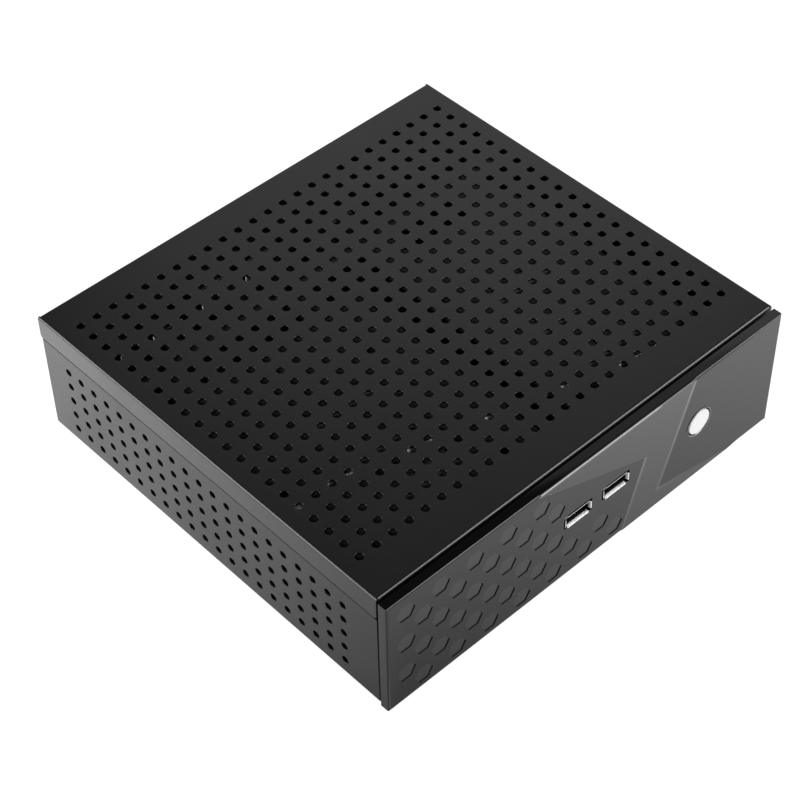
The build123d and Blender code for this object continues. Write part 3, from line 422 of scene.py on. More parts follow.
class Surface:
    """A node material. Calls add nodes to it and link them."""

    def __init__(self, name):
        self.material = bpy.data.materials.new(name)
        self.material.use_nodes = True
        self.tree = self.material.node_tree
        self.shader = self.tree.nodes["Principled BSDF"]
        self.where = self.add("ShaderNodeTexCoord").outputs["Object"]

    def add(self, kind, inputs=None, **settings):
        node = self.tree.nodes.new(kind)
        for name, value in settings.items():
            setattr(node, name, value)
        for name, value in (inputs or {}).items():
            self.connect(node.inputs[name], value)
        return node

    def connect(self, socket, value):
        if isinstance(value, bpy.types.NodeSocket):
            self.tree.links.new(value, socket)
        else:
            socket.default_value = value

    def set(self, **values):
        """Sets shader inputs, named with underscores for spaces."""
        for name, value in values.items():
            self.connect(self.shader.inputs[name.replace("_", " ")], value)

    def noise(self, size, detail=2.0, where=None):
        """Noise from 0 to 1 whose features are about size millimetres wide."""
        inputs = {"Vector": where or self.where, "Scale": 1 / (size * MM), "Detail": detail}
        return self.add("ShaderNodeTexNoise", inputs).outputs["Fac"]

    def stretched(self, x, y, z):
        """Object coordinates scaled by a factor on each axis."""
        mapping = self.add("ShaderNodeMapping", {"Vector": self.where, "Scale": (x, y, z)})
        return mapping.outputs["Vector"]

    def remap(self, value, low, high, to_low, to_high):
        node = self.add(
            "ShaderNodeMapRange",
            {"Value": value, "From Min": low, "From Max": high, "To Min": to_low, "To Max": to_high},
        )
        return node.outputs["Result"]

    def mix(self, factor, first, second):
        node = self.add("ShaderNodeMix", data_type="RGBA")
        for socket, value in ((node.inputs[0], factor), (node.inputs[6], first), (node.inputs[7], second)):
            self.connect(socket, value)
        return node.outputs[2]

    def math(self, operation, first, second=0.0):
        node = self.add("ShaderNodeMath", operation=operation)
        self.connect(node.inputs[0], first)
        self.connect(node.inputs[1], second)
        return node.outputs[0]

    def bump(self, height, depth, normal=None):
        """Bump of a given depth in millimetres."""
        inputs = {"Height": height, "Distance": depth * MM, "Strength": 1.0}
        if normal:
            inputs["Normal"] = normal
        return self.add("ShaderNodeBump", inputs).outputs["Normal"]

    def axis(self, letter):
        """Object coordinate on one axis, in metres."""
        return self.add("ShaderNodeSeparateXYZ", {"Vector": self.where}).outputs[letter]


def grey(value):
    return (value, value, value, 1.0)


def shaded(color, factor):
    """The colour made darker or lighter by a factor."""
    return tuple(min(1.0, value * factor) for value in color[:3]) + (1.0,)


def moulded(name, color, roughness, grain=0.35, depth=0.006, spread=0.06, **more):
    """Moulded or painted surface: slow drift of tone and gloss over a fine grain."""
    surface = Surface(name)
    drift = surface.noise(14.0, 3.0)
    fine = surface.noise(grain, 2.0)
    tone = surface.mix(drift, shaded(color, 0.82), shaded(color, 1.18))
    gloss = surface.remap(surface.noise(5.0, 4.0), 0.3, 0.7, roughness - spread, roughness + spread)
    surface.set(Base_Color=tone, Roughness=gloss, Normal=surface.bump(fine, depth), **more)
    return surface


def metal(name, color, roughness, stretch=(1, 1, 12), spread=0.08):
    """Bare or plated metal with a drawn grain."""
    surface = Surface(name)
    lines = surface.noise(0.9, 3.0, surface.stretched(*stretch))
    drift = surface.noise(9.0, 3.0)
    tone = surface.mix(drift, shaded(color, 0.86), shaded(color, 1.1))
    gloss = surface.remap(lines, 0.3, 0.7, roughness - spread, roughness + spread)
    surface.set(Base_Color=tone, Roughness=gloss, Metallic=1.0, Normal=surface.bump(lines, 0.004))
    return surface


def powder_coat(name, color, roughness):
    """Black powder coat: orange peel, fine sparkle of lighter grains and soft wear in its gloss."""
    surface = Surface(name)
    grains = surface.noise(0.28, 1.0)
    peel = surface.noise(1.1, 2.0)
    cloud = surface.noise(40.0, 3.0)
    speck = surface.remap(grains, 0.62, 0.78, 0.0, 1.0)
    base = surface.mix(cloud, shaded(color, 0.85), shaded(color, 1.15))
    tone = surface.mix(speck, base, shaded(color, 1.9))
    gloss = surface.remap(surface.math("ADD", peel, cloud), 0.6, 1.4, roughness - 0.05, roughness + 0.05)
    normal = surface.bump(grains, 0.010, surface.bump(peel, 0.012))
    surface.set(Base_Color=tone, Roughness=gloss, Normal=normal, Specular_IOR_Level=0.55)
    return surface


def gloss_panel(name):
    """Polished black plastic with faint wipe marks and lighter hexagon floors. Its gloss is painted: the
    specular level is lowered in its recesses as a painted darker reflection and raised on their slopes as
    a painted highlight.
    """
    surface = Surface(name)
    wipes = surface.noise(6.0, 5.0, surface.stretched(0.35, 1.0, 1.6))
    smear = surface.noise(45.0, 2.0)
    gloss = surface.remap(surface.math("MULTIPLY", wipes, smear), 0.15, 0.4, 0.05, 0.11)
    ripple = surface.bump(surface.noise(16.0, 1.0), 0.008)
    depth = surface.math("SUBTRACT", surface.axis("Y"), PANEL_FRONT * MM)
    floor = RELIEF + HEX_DEPTH
    face = surface.remap(depth, (floor + 0.1) * MM, (floor + 0.15) * MM, 1.0, 0.0)
    low = surface.remap(depth, 0.5 * RELIEF * MM, 0.95 * RELIEF * MM, 0.0, 1.0)
    deep = surface.remap(depth, (floor - 0.1) * MM, (floor - 0.03) * MM, 0.0, 1.0)
    change = ((BAND_X - 1) * MM, (BAND_X + 1) * MM)
    right = surface.remap(surface.axis("X"), *change, 0.60, 0.54)
    # painted reflection: a lower specular level in the recesses, lower still right of the band
    painted_sheen = surface.remap(surface.math("MULTIPLY", low, face), 0.0, 1.0, 1.0, right)
    share = surface.remap(depth, 0.0, RELIEF * MM, 0.0, 1.0)
    slope = surface.math("MULTIPLY", share, surface.math("SUBTRACT", 1.0, share))
    # painted highlight: a higher specular level on the slopes of the recesses, more so left of the band
    painted_slope_highlight = surface.remap(surface.axis("X"), *change, 4.2, 1.7)
    painted_sheen = surface.math("MULTIPLY", painted_sheen, surface.remap(slope, 0.0, 0.25, 1.0, painted_slope_highlight))
    tone = surface.mix(
        surface.math("MULTIPLY", deep, face), surface.mix(smear, grey(0.001), grey(0.002)), grey(0.014)
    )
    surface.set(
        Base_Color=tone, Roughness=gloss, Normal=ripple, IOR=1.5,
        Specular_IOR_Level=surface.math("MULTIPLY", painted_sheen, 0.5),
    )
    return surface


def floor_paper(name):
    """White paper that glows. Where it is only mirrored, its glow grows brighter away from the front left
    corner: painted light for the reflections on the case.
    """
    surface = Surface(name)
    spread = {"Vector": surface.where, "Location": (0.06, 0.115, 0), "Scale": (0.5, 1, 0)}
    place = surface.add("ShaderNodeMapping", spread).outputs["Vector"]
    away = surface.add("ShaderNodeVectorMath", {"Vector": place}, operation="LENGTH").outputs["Value"]
    edge = PANEL_FRONT * MM
    ahead = surface.remap(surface.axis("Y"), edge - 0.05, edge, FRONT_GLOW, 0.0)
    mirrored = surface.math("ADD", surface.remap(away, 0.0, 0.26, *MIRRORED_GLOW), ahead)
    seen = surface.add("ShaderNodeLightPath").outputs["Is Camera Ray"]
    glow = surface.add("ShaderNodeMix", {0: seen, 2: mirrored, 3: SEEN_GLOW}).outputs[0]
    fibres = surface.noise(0.6, 2.0)
    tone = surface.mix(surface.noise(60.0), grey(0.29), grey(0.31))
    surface.set(Base_Color=tone, Roughness=surface.remap(fibres, 0.3, 0.7, 0.75, 0.85))
    surface.set(Normal=surface.bump(fibres, 0.004), Emission_Color=grey(1.0), Emission_Strength=glow)
    return surface


def socket_plate(name):
    """Bright plated metal at a socket's mouth, dull and dark further in, where its darker colour is
    painted shade inside the socket.
    """
    surface = Surface(name)
    lines = surface.noise(0.9, 3.0, surface.stretched(1, 1, 12))
    # painted shade: the colour turns dark from 1.1 to 1.6 mm behind the panel's face
    inner = surface.remap(
        surface.axis("Y"), (PANEL_FRONT + 1.1) * MM, (PANEL_FRONT + 1.6) * MM, 0.0, 1.0
    )
    tone = surface.mix(inner, (0.9, 0.91, 0.93, 1.0), grey(0.05))
    gloss = surface.remap(lines, 0.3, 0.7, 0.32, 0.46)
    surface.set(Base_Color=tone, Roughness=gloss, Metallic=1.0, Normal=surface.bump(lines, 0.004))
    return surface


def circuit(name, color, trace):
    """Solder mask over runs of copper, with plated vias."""
    surface = Surface(name)
    cells = surface.add(
        "ShaderNodeTexBrick",
        {
            "Vector": surface.where, "Scale": 1 / (9 * MM), "Mortar Size": 0.03, "Mortar Smooth": 0.2,
            "Bias": 0.0, "Brick Width": 0.9, "Row Height": 0.28,
        },
        offset=0.37,
    ).outputs["Fac"]
    shift = surface.noise(11.0, 1.0)
    chosen = surface.remap(shift, 0.48, 0.5, 0.0, 1.0)
    runs = surface.math("MULTIPLY", cells, chosen)
    dots = surface.add(
        "ShaderNodeTexVoronoi", {"Vector": surface.where, "Scale": 1 / (3.4 * MM), "Randomness": 0.9}
    ).outputs["Distance"]
    via = surface.remap(dots, 0.10, 0.13, 1.0, 0.0)
    base = surface.mix(runs, color, trace)
    tone = surface.mix(via, base, (0.5, 0.38, 0.16, 1.0))
    height = surface.math("ADD", runs, via)
    surface.set(
        Base_Color=tone, Roughness=surface.remap(surface.noise(2.0), 0.3, 0.7, 0.28, 0.4),
        Metallic=surface.math("MULTIPLY", via, 0.8), Normal=surface.bump(height, 0.03),
    )
    return surface


BLACK_PAINT = (0.0040, 0.0040, 0.0042, 1.0)

MATERIALS = {
    "case_steel": powder_coat("case_steel", BLACK_PAINT, 0.42),
    "lid_steel": powder_coat("lid_steel", BLACK_PAINT, 0.33),
    "rubber": moulded("rubber", grey(0.018), 0.75, grain=0.2, depth=0.02),
    "dark_screw": metal("dark_screw", grey(0.05), 0.38),
    "zinc_screw": metal("zinc_screw", (0.2, 0.2, 0.21, 1.0), 0.4),
    "shield_steel": powder_coat("shield_steel", (0.03, 0.03, 0.031, 1.0), 0.4),
    "panel_gloss": gloss_panel("panel_gloss"),
    "button_ring": metal("button_ring", (0.14, 0.14, 0.145, 1.0), 0.24, spread=0.03),
    "button_white": moulded("button_white", grey(0.55), 0.32, grain=0.6, depth=0.002, spread=0.04),
    "switch_plastic": moulded("switch_plastic", grey(0.03), 0.5),
    "circuit_board": circuit("circuit_board", (0.008, 0.06, 0.025, 1), (0.02, 0.12, 0.05, 1)),
    "led_lens": moulded("led_lens", (0.75, 0.85, 0.95, 1.0), 0.15, Transmission_Weight=0.5),
    "socket_metal": socket_plate("socket_metal"),
    "port_metal": metal("port_metal", (0.3, 0.3, 0.31, 1.0), 0.4),
    "socket_plastic": moulded("socket_plastic", grey(0.008), 0.45),
    "contact_gold": metal("contact_gold", (0.6, 0.5, 0.3, 1.0), 0.3),
    "bracket_steel": powder_coat("bracket_steel", (0.022, 0.022, 0.023, 1.0), 0.4),
    "drive_case": metal("drive_case", (0.19, 0.19, 0.2, 1.0), 0.42, stretch=(12, 1, 1)),
    "main_board": circuit("main_board", (0.006, 0.009, 0.009, 1), (0.02, 0.028, 0.026, 1)),
    "brass_standoff": metal("brass_standoff", (0.72, 0.53, 0.22, 1.0), 0.3),
    "socket_frame": metal("socket_frame", (0.5, 0.5, 0.51, 1.0), 0.35, stretch=(12, 1, 1)),
    "processor_lid": metal("processor_lid", (0.6, 0.6, 0.62, 1.0), 0.28),
    "heatsink_aluminium": metal("heatsink_aluminium", (0.6, 0.61, 0.63, 1.0), 0.36, stretch=(12, 1, 12)),
    "fan_plastic": moulded("fan_plastic", grey(0.02), 0.42),
    "rotor_plastic": moulded("rotor_plastic", grey(0.03), 0.36),
    "slot_plastic": moulded("slot_plastic", (0.02, 0.022, 0.026, 1.0), 0.48),
    "memory_board": circuit("memory_board", (0.006, 0.05, 0.03, 1), (0.02, 0.1, 0.06, 1)),
    "cell_steel": metal("cell_steel", (0.66, 0.66, 0.66, 1.0), 0.26),
    "capacitor_can": metal("capacitor_can", (0.55, 0.55, 0.57, 1.0), 0.3),
    "cable_jacket": moulded("cable_jacket", grey(0.02), 0.5, grain=0.5, depth=0.02),
    "lead_jacket": moulded("lead_jacket", grey(0.85), 0.45, grain=0.5, depth=0.02),
}


def dress_cad_nodes():
    """Gives every CAD node its slot's material."""
    for part in frame["record"]["subparts"]:
        node = frame["nodes"][part["node"]]
        node.data.materials.clear()
        node.data.materials.append(MATERIALS[part["material_slot"]].material)


# ---------------------------------------------------------------- case
def arch(x, v, radius):
    """Half a circle about (x, v) from its right end to its left end, bulging to smaller v."""
    turns = [step * math.pi / 8 for step in range(9)]
    return [(x + radius * math.cos(t), v - radius * math.sin(t)) for t in turns]


def lid_screws():
    """(x, z) of the rear screws."""
    low, high = box_mm("lid_screws")
    z = (low.z + high.z) / 2
    return [(x, z) for x in (low.x + LID_SCREW_HEAD, (low.x + high.x) / 2, high.x - LID_SCREW_HEAD)]


def build_lid():
    """Lid: flat pattern with four flaps and a 25 by 21 hole grid, folded down."""
    box = FoldedBox(LID_HIGH.x, LID_LOW.y, LID_HIGH.y, LID_HIGH.z, -1)
    side = box.side_u(LID_HIGH.z - LID_LOW.z)
    front_edge = box.end_v(box.front, FRONT_LIP)
    rear_edge = box.end_v(box.rear, REAR_LIP)
    start, flap = box.side_start, box.side_start - SLIT
    half = [
        (flap, front_edge), (flap, box.front + BEND), (start, box.front + BEND), (start, box.front),
        (side - FLAP_CORNER, box.front), (side, box.front + FLAP_CORNER),
        (side, box.rear - FLAP_CORNER), (side - FLAP_CORNER, box.rear),
        (start, box.rear), (start, box.rear - BEND), (flap, box.rear - BEND), (flap, rear_edge),
    ]
    notches = []
    for x, z in reversed(lid_screws()):
        top = box.end_v(box.rear, LID_HIGH.z - z)
        notches.append((x + LID_SCREW_NOTCH, rear_edge))
        notches += arch(x, top, LID_SCREW_NOTCH)
        notches.append((x - LID_SCREW_NOTCH, rear_edge))
    outline = half + notches + [(-u, v) for u, v in reversed(half)]
    holes = [circle(centre, HOLE_RADIUS + SHEET_EDGE) for centre in grid((0, GRID_Y), 25, 21)]
    pattern = Pattern([inset(outline, SHEET_EDGE), *holes], box.creases())
    shell = Shell()
    add_sheet(shell, pattern, box.place, SHEET, SHEET_EDGE)
    shell.piece("lid_shell", "lid_steel", "lid", ["lid"])


END_WALL_GAP = 0.15  # between an end wall and the stepped side walls
FRONT_FLANGE = 4.0
REAR_FLANGE = 5.0
BOARD_HOLE = 2.1  # radius, as for the next three
LID_SCREW_HOLE = 1.6
BEZEL_SCREW_HOLE = 1.7
BRACKET_SCREW_HOLE = 1.6
STANDOFF_RADIUS = 2.75
BEZEL_SCREWS = [(x, z) for x in (-94.0, 94.0) for z in (12.0, 38.0)]
BRACKET_SCREWS = [(x, 50.5) for x in (-84, -20, 22, 74)]  # (x, z) in the front wall
SOCKET_WINDOW = (16.3, 8.7)
SWITCH_WINDOW = (34.3, 22.3)
SHIELD_CLEARANCE = 0.5
TABS = [(x, -88.3) for x in (-19.0, 23.0)]  # ledges that carry the front socket board
TAB_SIZE = (6.8, 8.8)
TAB_HOLE = (0.3, 1.4)  # how far behind the tab's middle, and radius


def tray_outline(box, wall_front):
    """Flat outline of the tray: floor, two side walls, and end walls with a flange on top."""
    side_top = box.side_u(TRAY_HIGH.z - box.z)
    rear_level = box.side_u(box.rear_step)
    low, high = box.side_start - SLIT, TRAY_HIGH.x - TUCK - SHEET - END_WALL_GAP
    shoulder = box.side_step - 1.0  # above it the end walls are narrower, as the side walls are
    front_low, rear_low = (box.end_v(edge, shoulder) for edge in (box.front, box.rear))
    top = 2 * BEND + box.end_legs[1]
    front_top = box.end_v(box.front, top) - box.arc + BEND - FRONT_FLANGE
    rear_top = box.end_v(box.rear, top) + box.arc - BEND + REAR_FLANGE
    upper_rear = box.rear - TUCK
    half = [
        (high, front_top), (high, front_low), (low, front_low), (low, box.front + BEND),
        (box.side_start, box.front + BEND), (box.side_start, wall_front),
        (side_top, wall_front), (side_top, upper_rear), (rear_level, upper_rear), (rear_level, box.rear),
        (box.side_start, box.rear), (box.side_start, box.rear - BEND), (low, box.rear - BEND),
        (low, rear_low), (high, rear_low), (high, rear_top),
    ]
    return half + [(-u, v) for u, v in reversed(half)]


def build_tray():
    """Tray: floor and four walls folded up, with its vents, windows and screw holes."""
    rise = TRAY_HIGH.z - TRAY_LOW.z
    box = FoldedBox(
        TRAY_HIGH.x, WALL_FRONT, TRAY_HIGH.y, TRAY_LOW.z, 1, end_legs=(0.0, rise - 2 * BEND),
        side_step=SIDE_STEP - TRAY_LOW.z, rear_step=REAR_STEP - TRAY_LOW.z,
    )

    def front_v(z):
        return box.end_v(box.front, z - box.z)

    def rear_v(z):
        return box.end_v(box.rear, z - box.z)

    def round_holes(centres, radius):
        return [circle(centre, radius + SHEET_EDGE) for centre in centres]

    loops = [inset(tray_outline(box, TRAY_LOW.y), SHEET_EDGE)]
    side_centre = (-box.side_u(SIDE_GRID_Z - box.z), GRID_Y)
    loops += round_holes(grid(side_centre, 5, 21), HOLE_RADIUS)
    loops += round_holes(grid((PROCESSOR.x, PROCESSOR.y), 11, 9), HOLE_RADIUS)
    loops += round_holes(corners_mm("board_standoffs", STANDOFF_RADIUS), BOARD_HOLE)
    low, high = box_mm("io_shield")
    middle = ((low.x + high.x) / 2, rear_v((low.z + high.z) / 2))
    loops.append(
        rectangle(middle, high.x - low.x + SHIELD_CLEARANCE, high.z - low.z + SHIELD_CLEARANCE)
    )
    loops += round_holes([(x, rear_v(z)) for x, z in lid_screws()], LID_SCREW_HOLE)
    loops += [rectangle((socket.x, front_v(socket.z)), *SOCKET_WINDOW) for socket in SOCKETS]
    loops.append(rectangle((BUTTON.x, front_v(BUTTON.z)), *SWITCH_WINDOW, 1.0))
    loops += round_holes([(x, front_v(z)) for x, z in BEZEL_SCREWS], BEZEL_SCREW_HOLE)
    loops += round_holes([(x, front_v(z)) for x, z in BRACKET_SCREWS], BRACKET_SCREW_HOLE)
    pattern = Pattern(loops, box.creases())
    shell = Shell()
    add_sheet(shell, pattern, box.place, SHEET, SHEET_EDGE)
    top = box_mm("front_usb_board")[0].z
    for x, y in TABS:
        hole = circle((x, y + TAB_HOLE[0]), TAB_HOLE[1])
        tab = Pattern([rectangle((x, y), *TAB_SIZE, 1.0), hole])
        add_sheet(shell, tab, lambda u, v, depth: (u, v, top - depth), SHEET, 0.1)
    shell.piece("tray_shell", "case_steel", "case", ["chassis_tray"])


def corners_mm(node, radius):
    """Centres of four round parts of a radius that stand in the corners of a node's box."""
    low, high = box_mm(node)
    return [(x, y) for x in (low.x + radius, high.x - radius) for y in (low.y + radius, high.y - radius)]


FOOT_RADIUS = 6.0


def build_feet():
    """Four tapered rubber feet with a dished underside."""
    low, high = box_mm("rubber_feet")
    rise = high.z - low.z
    dish, dish_depth, lip, taper = 2.2, 0.5, 0.6, 0.8
    sole = FOOT_RADIUS - taper - lip
    profile = [
        (0, dish_depth), (dish, dish_depth), (dish + 0.6, 0.0),
        *rounded_steps((sole, lip), lip, -90, -8), (FOOT_RADIUS, rise), (0, rise),
    ]
    shell = Shell()
    for x, y in corners_mm("rubber_feet", FOOT_RADIUS):
        lathe(shell, profile, (x, y, low.z), (0, 0, 1), 40)
    shell.piece("foot_set", "rubber", "case", ["rubber_feet"])


# ---------------------------------------------------------------- front panel
# Edges of the two recessed areas as (x, height above the panel's lower edge), with each area on the
# left of its line, and how wide the slope along each leg is.
HEX_EDGE = [(18.9, 0.0), (29.7, 35.1), (-31.7, 59.3)]
HEX_SLOPES = (1.5, 0.7)
BUTTON_EDGE = [(53.2, 59.3), (36.2, 9.2), (86.5, 0.0)]
BUTTON_SLOPES = (3.0, 1.4)
SLOPE_STEPS = 6
MOUTH_EDGE = 0.25  # rounding around the panel's openings
SOCKET_MOUTH = (14.8, 6.6)
BUTTON_MOUTH = 6.6
PANEL_BOSS = (3.2, 1.28)  # radius and bore of the screw bosses
SWITCH_BOSS = (2.6, 0.83)
SWITCH_BOSS_X = 11.0
SWITCH_BOSS_END = PANEL_FRONT + 5.15
BOSS_ROOT = 0.4  # how far a boss reaches into the panel's skin


def slope_lines(edge, widths):
    """For each leg of an edge: a point on it, its unit normal into the area, and its width."""
    lines = []
    for start, end, width in zip(edge, edge[1:], widths):
        along = (Vector(end) - Vector(start)).normalized()
        lines.append((Vector(start), Vector((-along.y, along.x)), width))
    return lines


HEX_LINES = slope_lines(HEX_EDGE, HEX_SLOPES)
BUTTON_LINES = slope_lines(BUTTON_EDGE, BUTTON_SLOPES)


def relief_share(x, height, lines):
    """0 outside a recessed area, 1 where it has its full depth."""
    return ease(min((Vector((x, height)) - start).dot(normal) / width for start, normal, width in lines))


def relief_creases(edge, widths):
    """Lines along the slope around a recessed area, mitred at its corner."""
    (start, first, width), (middle, second, other) = slope_lines(edge, widths)
    creases = []
    for step in range(SLOPE_STEPS + 1):
        share = step / SLOPE_STEPS
        near, far = share * width, share * other
        turn = first.x * second.y - first.y * second.x
        corner = middle + Vector((near * second.y - far * first.y, far * first.x - near * second.x)) / turn
        begin = corner + (start - middle) * 1.3
        end = corner + (Vector(edge[2]) - middle) * 1.3
        creases.append([(p.x, p.y + PANEL_LOW.z) for p in (begin, corner, end)])
    return creases


def hexagon_centres():
    """Centres of the recessed hexagons, row by row from the top."""
    centres = []
    for row, count in enumerate(HEX_ROWS):
        first = HEX_FIRST[0] + (row % 2) * HEX_STEP[0] / 2
        centres += [(first + i * HEX_STEP[0], HEX_FIRST[1] - row * HEX_STEP[1]) for i in range(count)]
    return centres


HEXAGONS = hexagon_centres()


def hexagon_share(x, z):
    """0 outside the hexagons, 1 on their floors."""
    for centre_x, centre_z in HEXAGONS:
        dx, dz = abs(x - centre_x), abs(z - centre_z)
        if dx < HEX_FLATS and dz < HEX_FLATS:
            reach = max(dz, dx * math.cos(math.pi / 6) + dz / 2)
            if reach < HEX_FLATS / 2:
                return min((HEX_FLATS / 2 - reach) / HEX_WALL, 1.0)
    return 0.0


def hexagon(centre, flats):
    """Closed line around a hexagon whose corners point sideways."""
    radius = flats / math.sqrt(3)
    return [
        (centre[0] + radius * math.cos(i * math.pi / 3), centre[1] + radius * math.sin(i * math.pi / 3))
        for i in range(7)
    ]


def panel_depth(x, z):
    """How far the panel's face lies behind its foremost plane."""
    height = z - PANEL_LOW.z
    share = max(relief_share(x, height, HEX_LINES), relief_share(x, height, BUTTON_LINES))
    return RELIEF * share + HEX_DEPTH * hexagon_share(x, z)


def quarter(radius, steps=5):
    """(out, back) steps of a quarter round, from the flat face outwards."""
    turns = [step * math.pi / 2 / steps for step in range(1, steps + 1)]
    return [(radius * math.sin(t), radius * (1 - math.cos(t))) for t in turns]


def rim_rings(pattern, loop, depths, radius, back, flush):
    """Rings from a rim loop of the face over its rounded edge to a plane at the back.

    A flush rim ends its rounding at the same depth everywhere, whatever the relief beside it.
    """
    outward = pattern.outward()
    rings = []
    for out, behind in [(0.0, 0.0), *quarter(radius)]:
        ring = []
        for i in loop:
            x, z = pattern.points[i] + outward[i] * out
            share = 1 - depths[i] / radius if flush else 1
            ring.append((x, PANEL_FRONT + depths[i] + behind * share, z))
        rings.append(ring)
    rings.append([(x, back, z) for x, _, z in rings[-1]])
    return rings


def add_panel_face(shell, outline):
    """The panel's face, its rounded rim and the walls of its openings. Returns the openings."""
    loops = [inset(outline, PANEL_ROUND)]
    for socket in SOCKETS:
        width, height = (size + 2 * MOUTH_EDGE for size in SOCKET_MOUTH)
        loops.append(rectangle((socket.x, socket.z), width, height, 0.6))
    loops.append(circle((BUTTON.x, BUTTON.z), BUTTON_MOUTH + MOUTH_EDGE, 72))
    creases = relief_creases(HEX_EDGE, HEX_SLOPES) + relief_creases(BUTTON_EDGE, BUTTON_SLOPES)
    for centre in HEXAGONS:
        creases += [hexagon(centre, HEX_FLATS), hexagon(centre, HEX_FLATS - 2 * HEX_WALL)]
    pattern = Pattern(loops, creases)
    depths = [panel_depth(*point) for point in pattern.points]
    front = [(x, PANEL_FRONT + depth, z) for (x, z), depth in zip(pattern.points, depths)]
    for triangle in pattern.triangles:
        shell.face([front[i] for i in triangle])
    ends = []
    for number, loop in enumerate(pattern.rim_loops()):
        outer = number == 0
        radius, back = (PANEL_ROUND, PANEL_BACK) if outer else (MOUTH_EDGE, PANEL_INSIDE)
        rings = rim_rings(pattern, loop, depths, radius, back, outer)
        for lower, upper in zip(rings, rings[1:]):
            shell.band(lower, upper)
        ends.append([(x, z) for x, _, z in rings[-1]])
    return ends


def add_panel_back(shell, outline, openings):
    """The panel's rear rim, its cavity and the back of its skin."""
    cavity = inset(outline, PANEL_SKIN)
    rim = Pattern([openings[0], cavity])
    skin = Pattern([cavity, *openings[1:]])
    for flat, y in ((rim, PANEL_BACK), (skin, PANEL_INSIDE)):
        for triangle in flat.triangles:
            shell.face([(flat.points[i][0], y, flat.points[i][1]) for i in triangle])
    shell.band([(x, PANEL_BACK, z) for x, z in cavity], [(x, PANEL_INSIDE, z) for x, z in cavity])


def add_bosses(shell):
    """Bored bosses for the panel's four screws and for the switch board's two."""
    bosses = [(x, z, *PANEL_BOSS, WALL_FRONT) for x, z in BEZEL_SCREWS]
    for side in (-1, 1):
        bosses.append((BUTTON.x + side * SWITCH_BOSS_X, BUTTON.z, *SWITCH_BOSS, SWITCH_BOSS_END))
    for x, z, radius, bore, end in bosses:
        length = end - PANEL_INSIDE + BOSS_ROOT
        profile = [(0, 0), (radius, 0), (radius, length), (bore, length), (bore, 0.6), (0, 0.6)]
        lathe(shell, profile, (x, PANEL_INSIDE - BOSS_ROOT, z), (0, 1, 0), 32)


def build_panel():
    """Front panel: face with its relief and hexagons, rounded rim, openings, skin and bosses."""
    middle = (0.0, (PANEL_LOW.z + PANEL_HIGH.z) / 2)
    outline = rectangle(middle, PANEL_HIGH.x - PANEL_LOW.x, PANEL_HEIGHT)
    shell = Shell()
    openings = add_panel_face(shell, outline)
    add_panel_back(shell, outline, openings)
    add_bosses(shell)
    shell.piece("panel_shell", "panel_gloss", "case", ["front_bezel"], 30)


# ---------------------------------------------------------------- power button and sockets
CAP_RADIUS = 5.85
CAP_ROUND = 0.55
CAP_WALL = 4.9  # inner radius of the cap's skirt
CAP_SKIN = 1.6
CAP_FLANGE = (6.45, 0.7)  # radius and thickness of the flange that keeps the cap in
CAP_DOME = 3.5  # radius of the flattest part of the face
RING_INNER = 6.2
RING_OUTER = 6.55
RING_LIP = (6.95, 0.25)  # radius and thickness of the lip on the panel's face
RING_ROUND = 0.12


def build_cap():
    """White button cap with a soft rim and a faint dome."""
    low, high = box_mm("power_button")
    depth = high.y - low.y
    rim = rounded_steps((CAP_RADIUS - CAP_ROUND, depth - CAP_ROUND - 0.07), CAP_ROUND, 0, 80, 6)
    flange, thickness = CAP_FLANGE
    profile = [
        (CAP_WALL, 0.0), (flange, 0.0), (flange, thickness), (CAP_RADIUS, thickness), *rim,
        (CAP_DOME, depth - 0.02), (0.0, depth), (0.0, depth - CAP_SKIN), (CAP_WALL, depth - CAP_SKIN),
    ]
    shell = Shell()
    lathe(shell, profile, (BUTTON.x, high.y, BUTTON.z), (0, -1, 0), 72)
    shell.piece("button_cap", "button_white", "button", ["power_button"])


def build_ring():
    """Dished metal ring around the button."""
    low, high = box_mm("button_ring")
    depth = high.y - low.y
    lip, thickness = RING_LIP
    profile = [
        (RING_INNER, 0.0), (RING_OUTER, 0.0), (RING_OUTER, depth - thickness), (lip, depth - thickness),
        *rounded_steps((lip - RING_ROUND, depth - RING_ROUND), RING_ROUND, 0, 90),
        (lip - 0.25, depth), (RING_INNER + 0.2, depth - 0.3), (RING_INNER, depth - 0.9),
    ]
    shell = Shell()
    lathe(shell, profile, (BUTTON.x, high.y, BUTTON.z), (0, -1, 0), 72)
    shell.piece("ring_shell", "button_ring", "case", ["button_ring"])


SHELL_HALF = (6.6, 2.8)  # half size of a socket's metal tube
SHELL_WALL = 0.3
FLAP_FLARE = 0.45  # how far a flap's lip stands out from the tube
FLAP_DEPTH = 2.2
FLAP_HALF_LENGTHS = (5.7, 1.9)  # of the flaps above and below, and of those at the sides
FLAP_STEPS = 6
FLAP_SECTIONS = ((-1, 0.12), (-0.98, 0.0), (0.98, 0.0), (1, 0.12))  # share of half length, set-back


def flap_profile():
    """Section of a flared flap as (out, back): the outer side forwards, then the inner side back."""
    outer, inner = [], []
    for step in range(FLAP_STEPS + 1):
        share = step / FLAP_STEPS
        out = FLAP_FLARE * share ** 2.2
        back = FLAP_DEPTH * (1 - share)
        outer.append((out, back))
        inner.append((out - SHELL_WALL, back + 0.04 * share))
    return outer + inner[::-1]


def add_flap(shell, socket, front, side, half_length, reach):
    """One flap of a socket's mouth: side is the unit direction it opens to."""
    side = Vector(side)
    along = Vector((side.z, 0, -side.x))
    profile = flap_profile()
    rings = []
    for share, shrink in FLAP_SECTIONS:
        ring = []
        for out, back in profile:
            point = Vector((socket.x, front + max(back, shrink), socket.z))
            ring.append(point + side * (reach + out) + along * share * half_length)
        rings.append(ring)
    for lower, upper in zip(rings, rings[1:]):
        shell.band(lower, upper)
    shell.face(rings[0][::-1])
    shell.face(rings[-1])


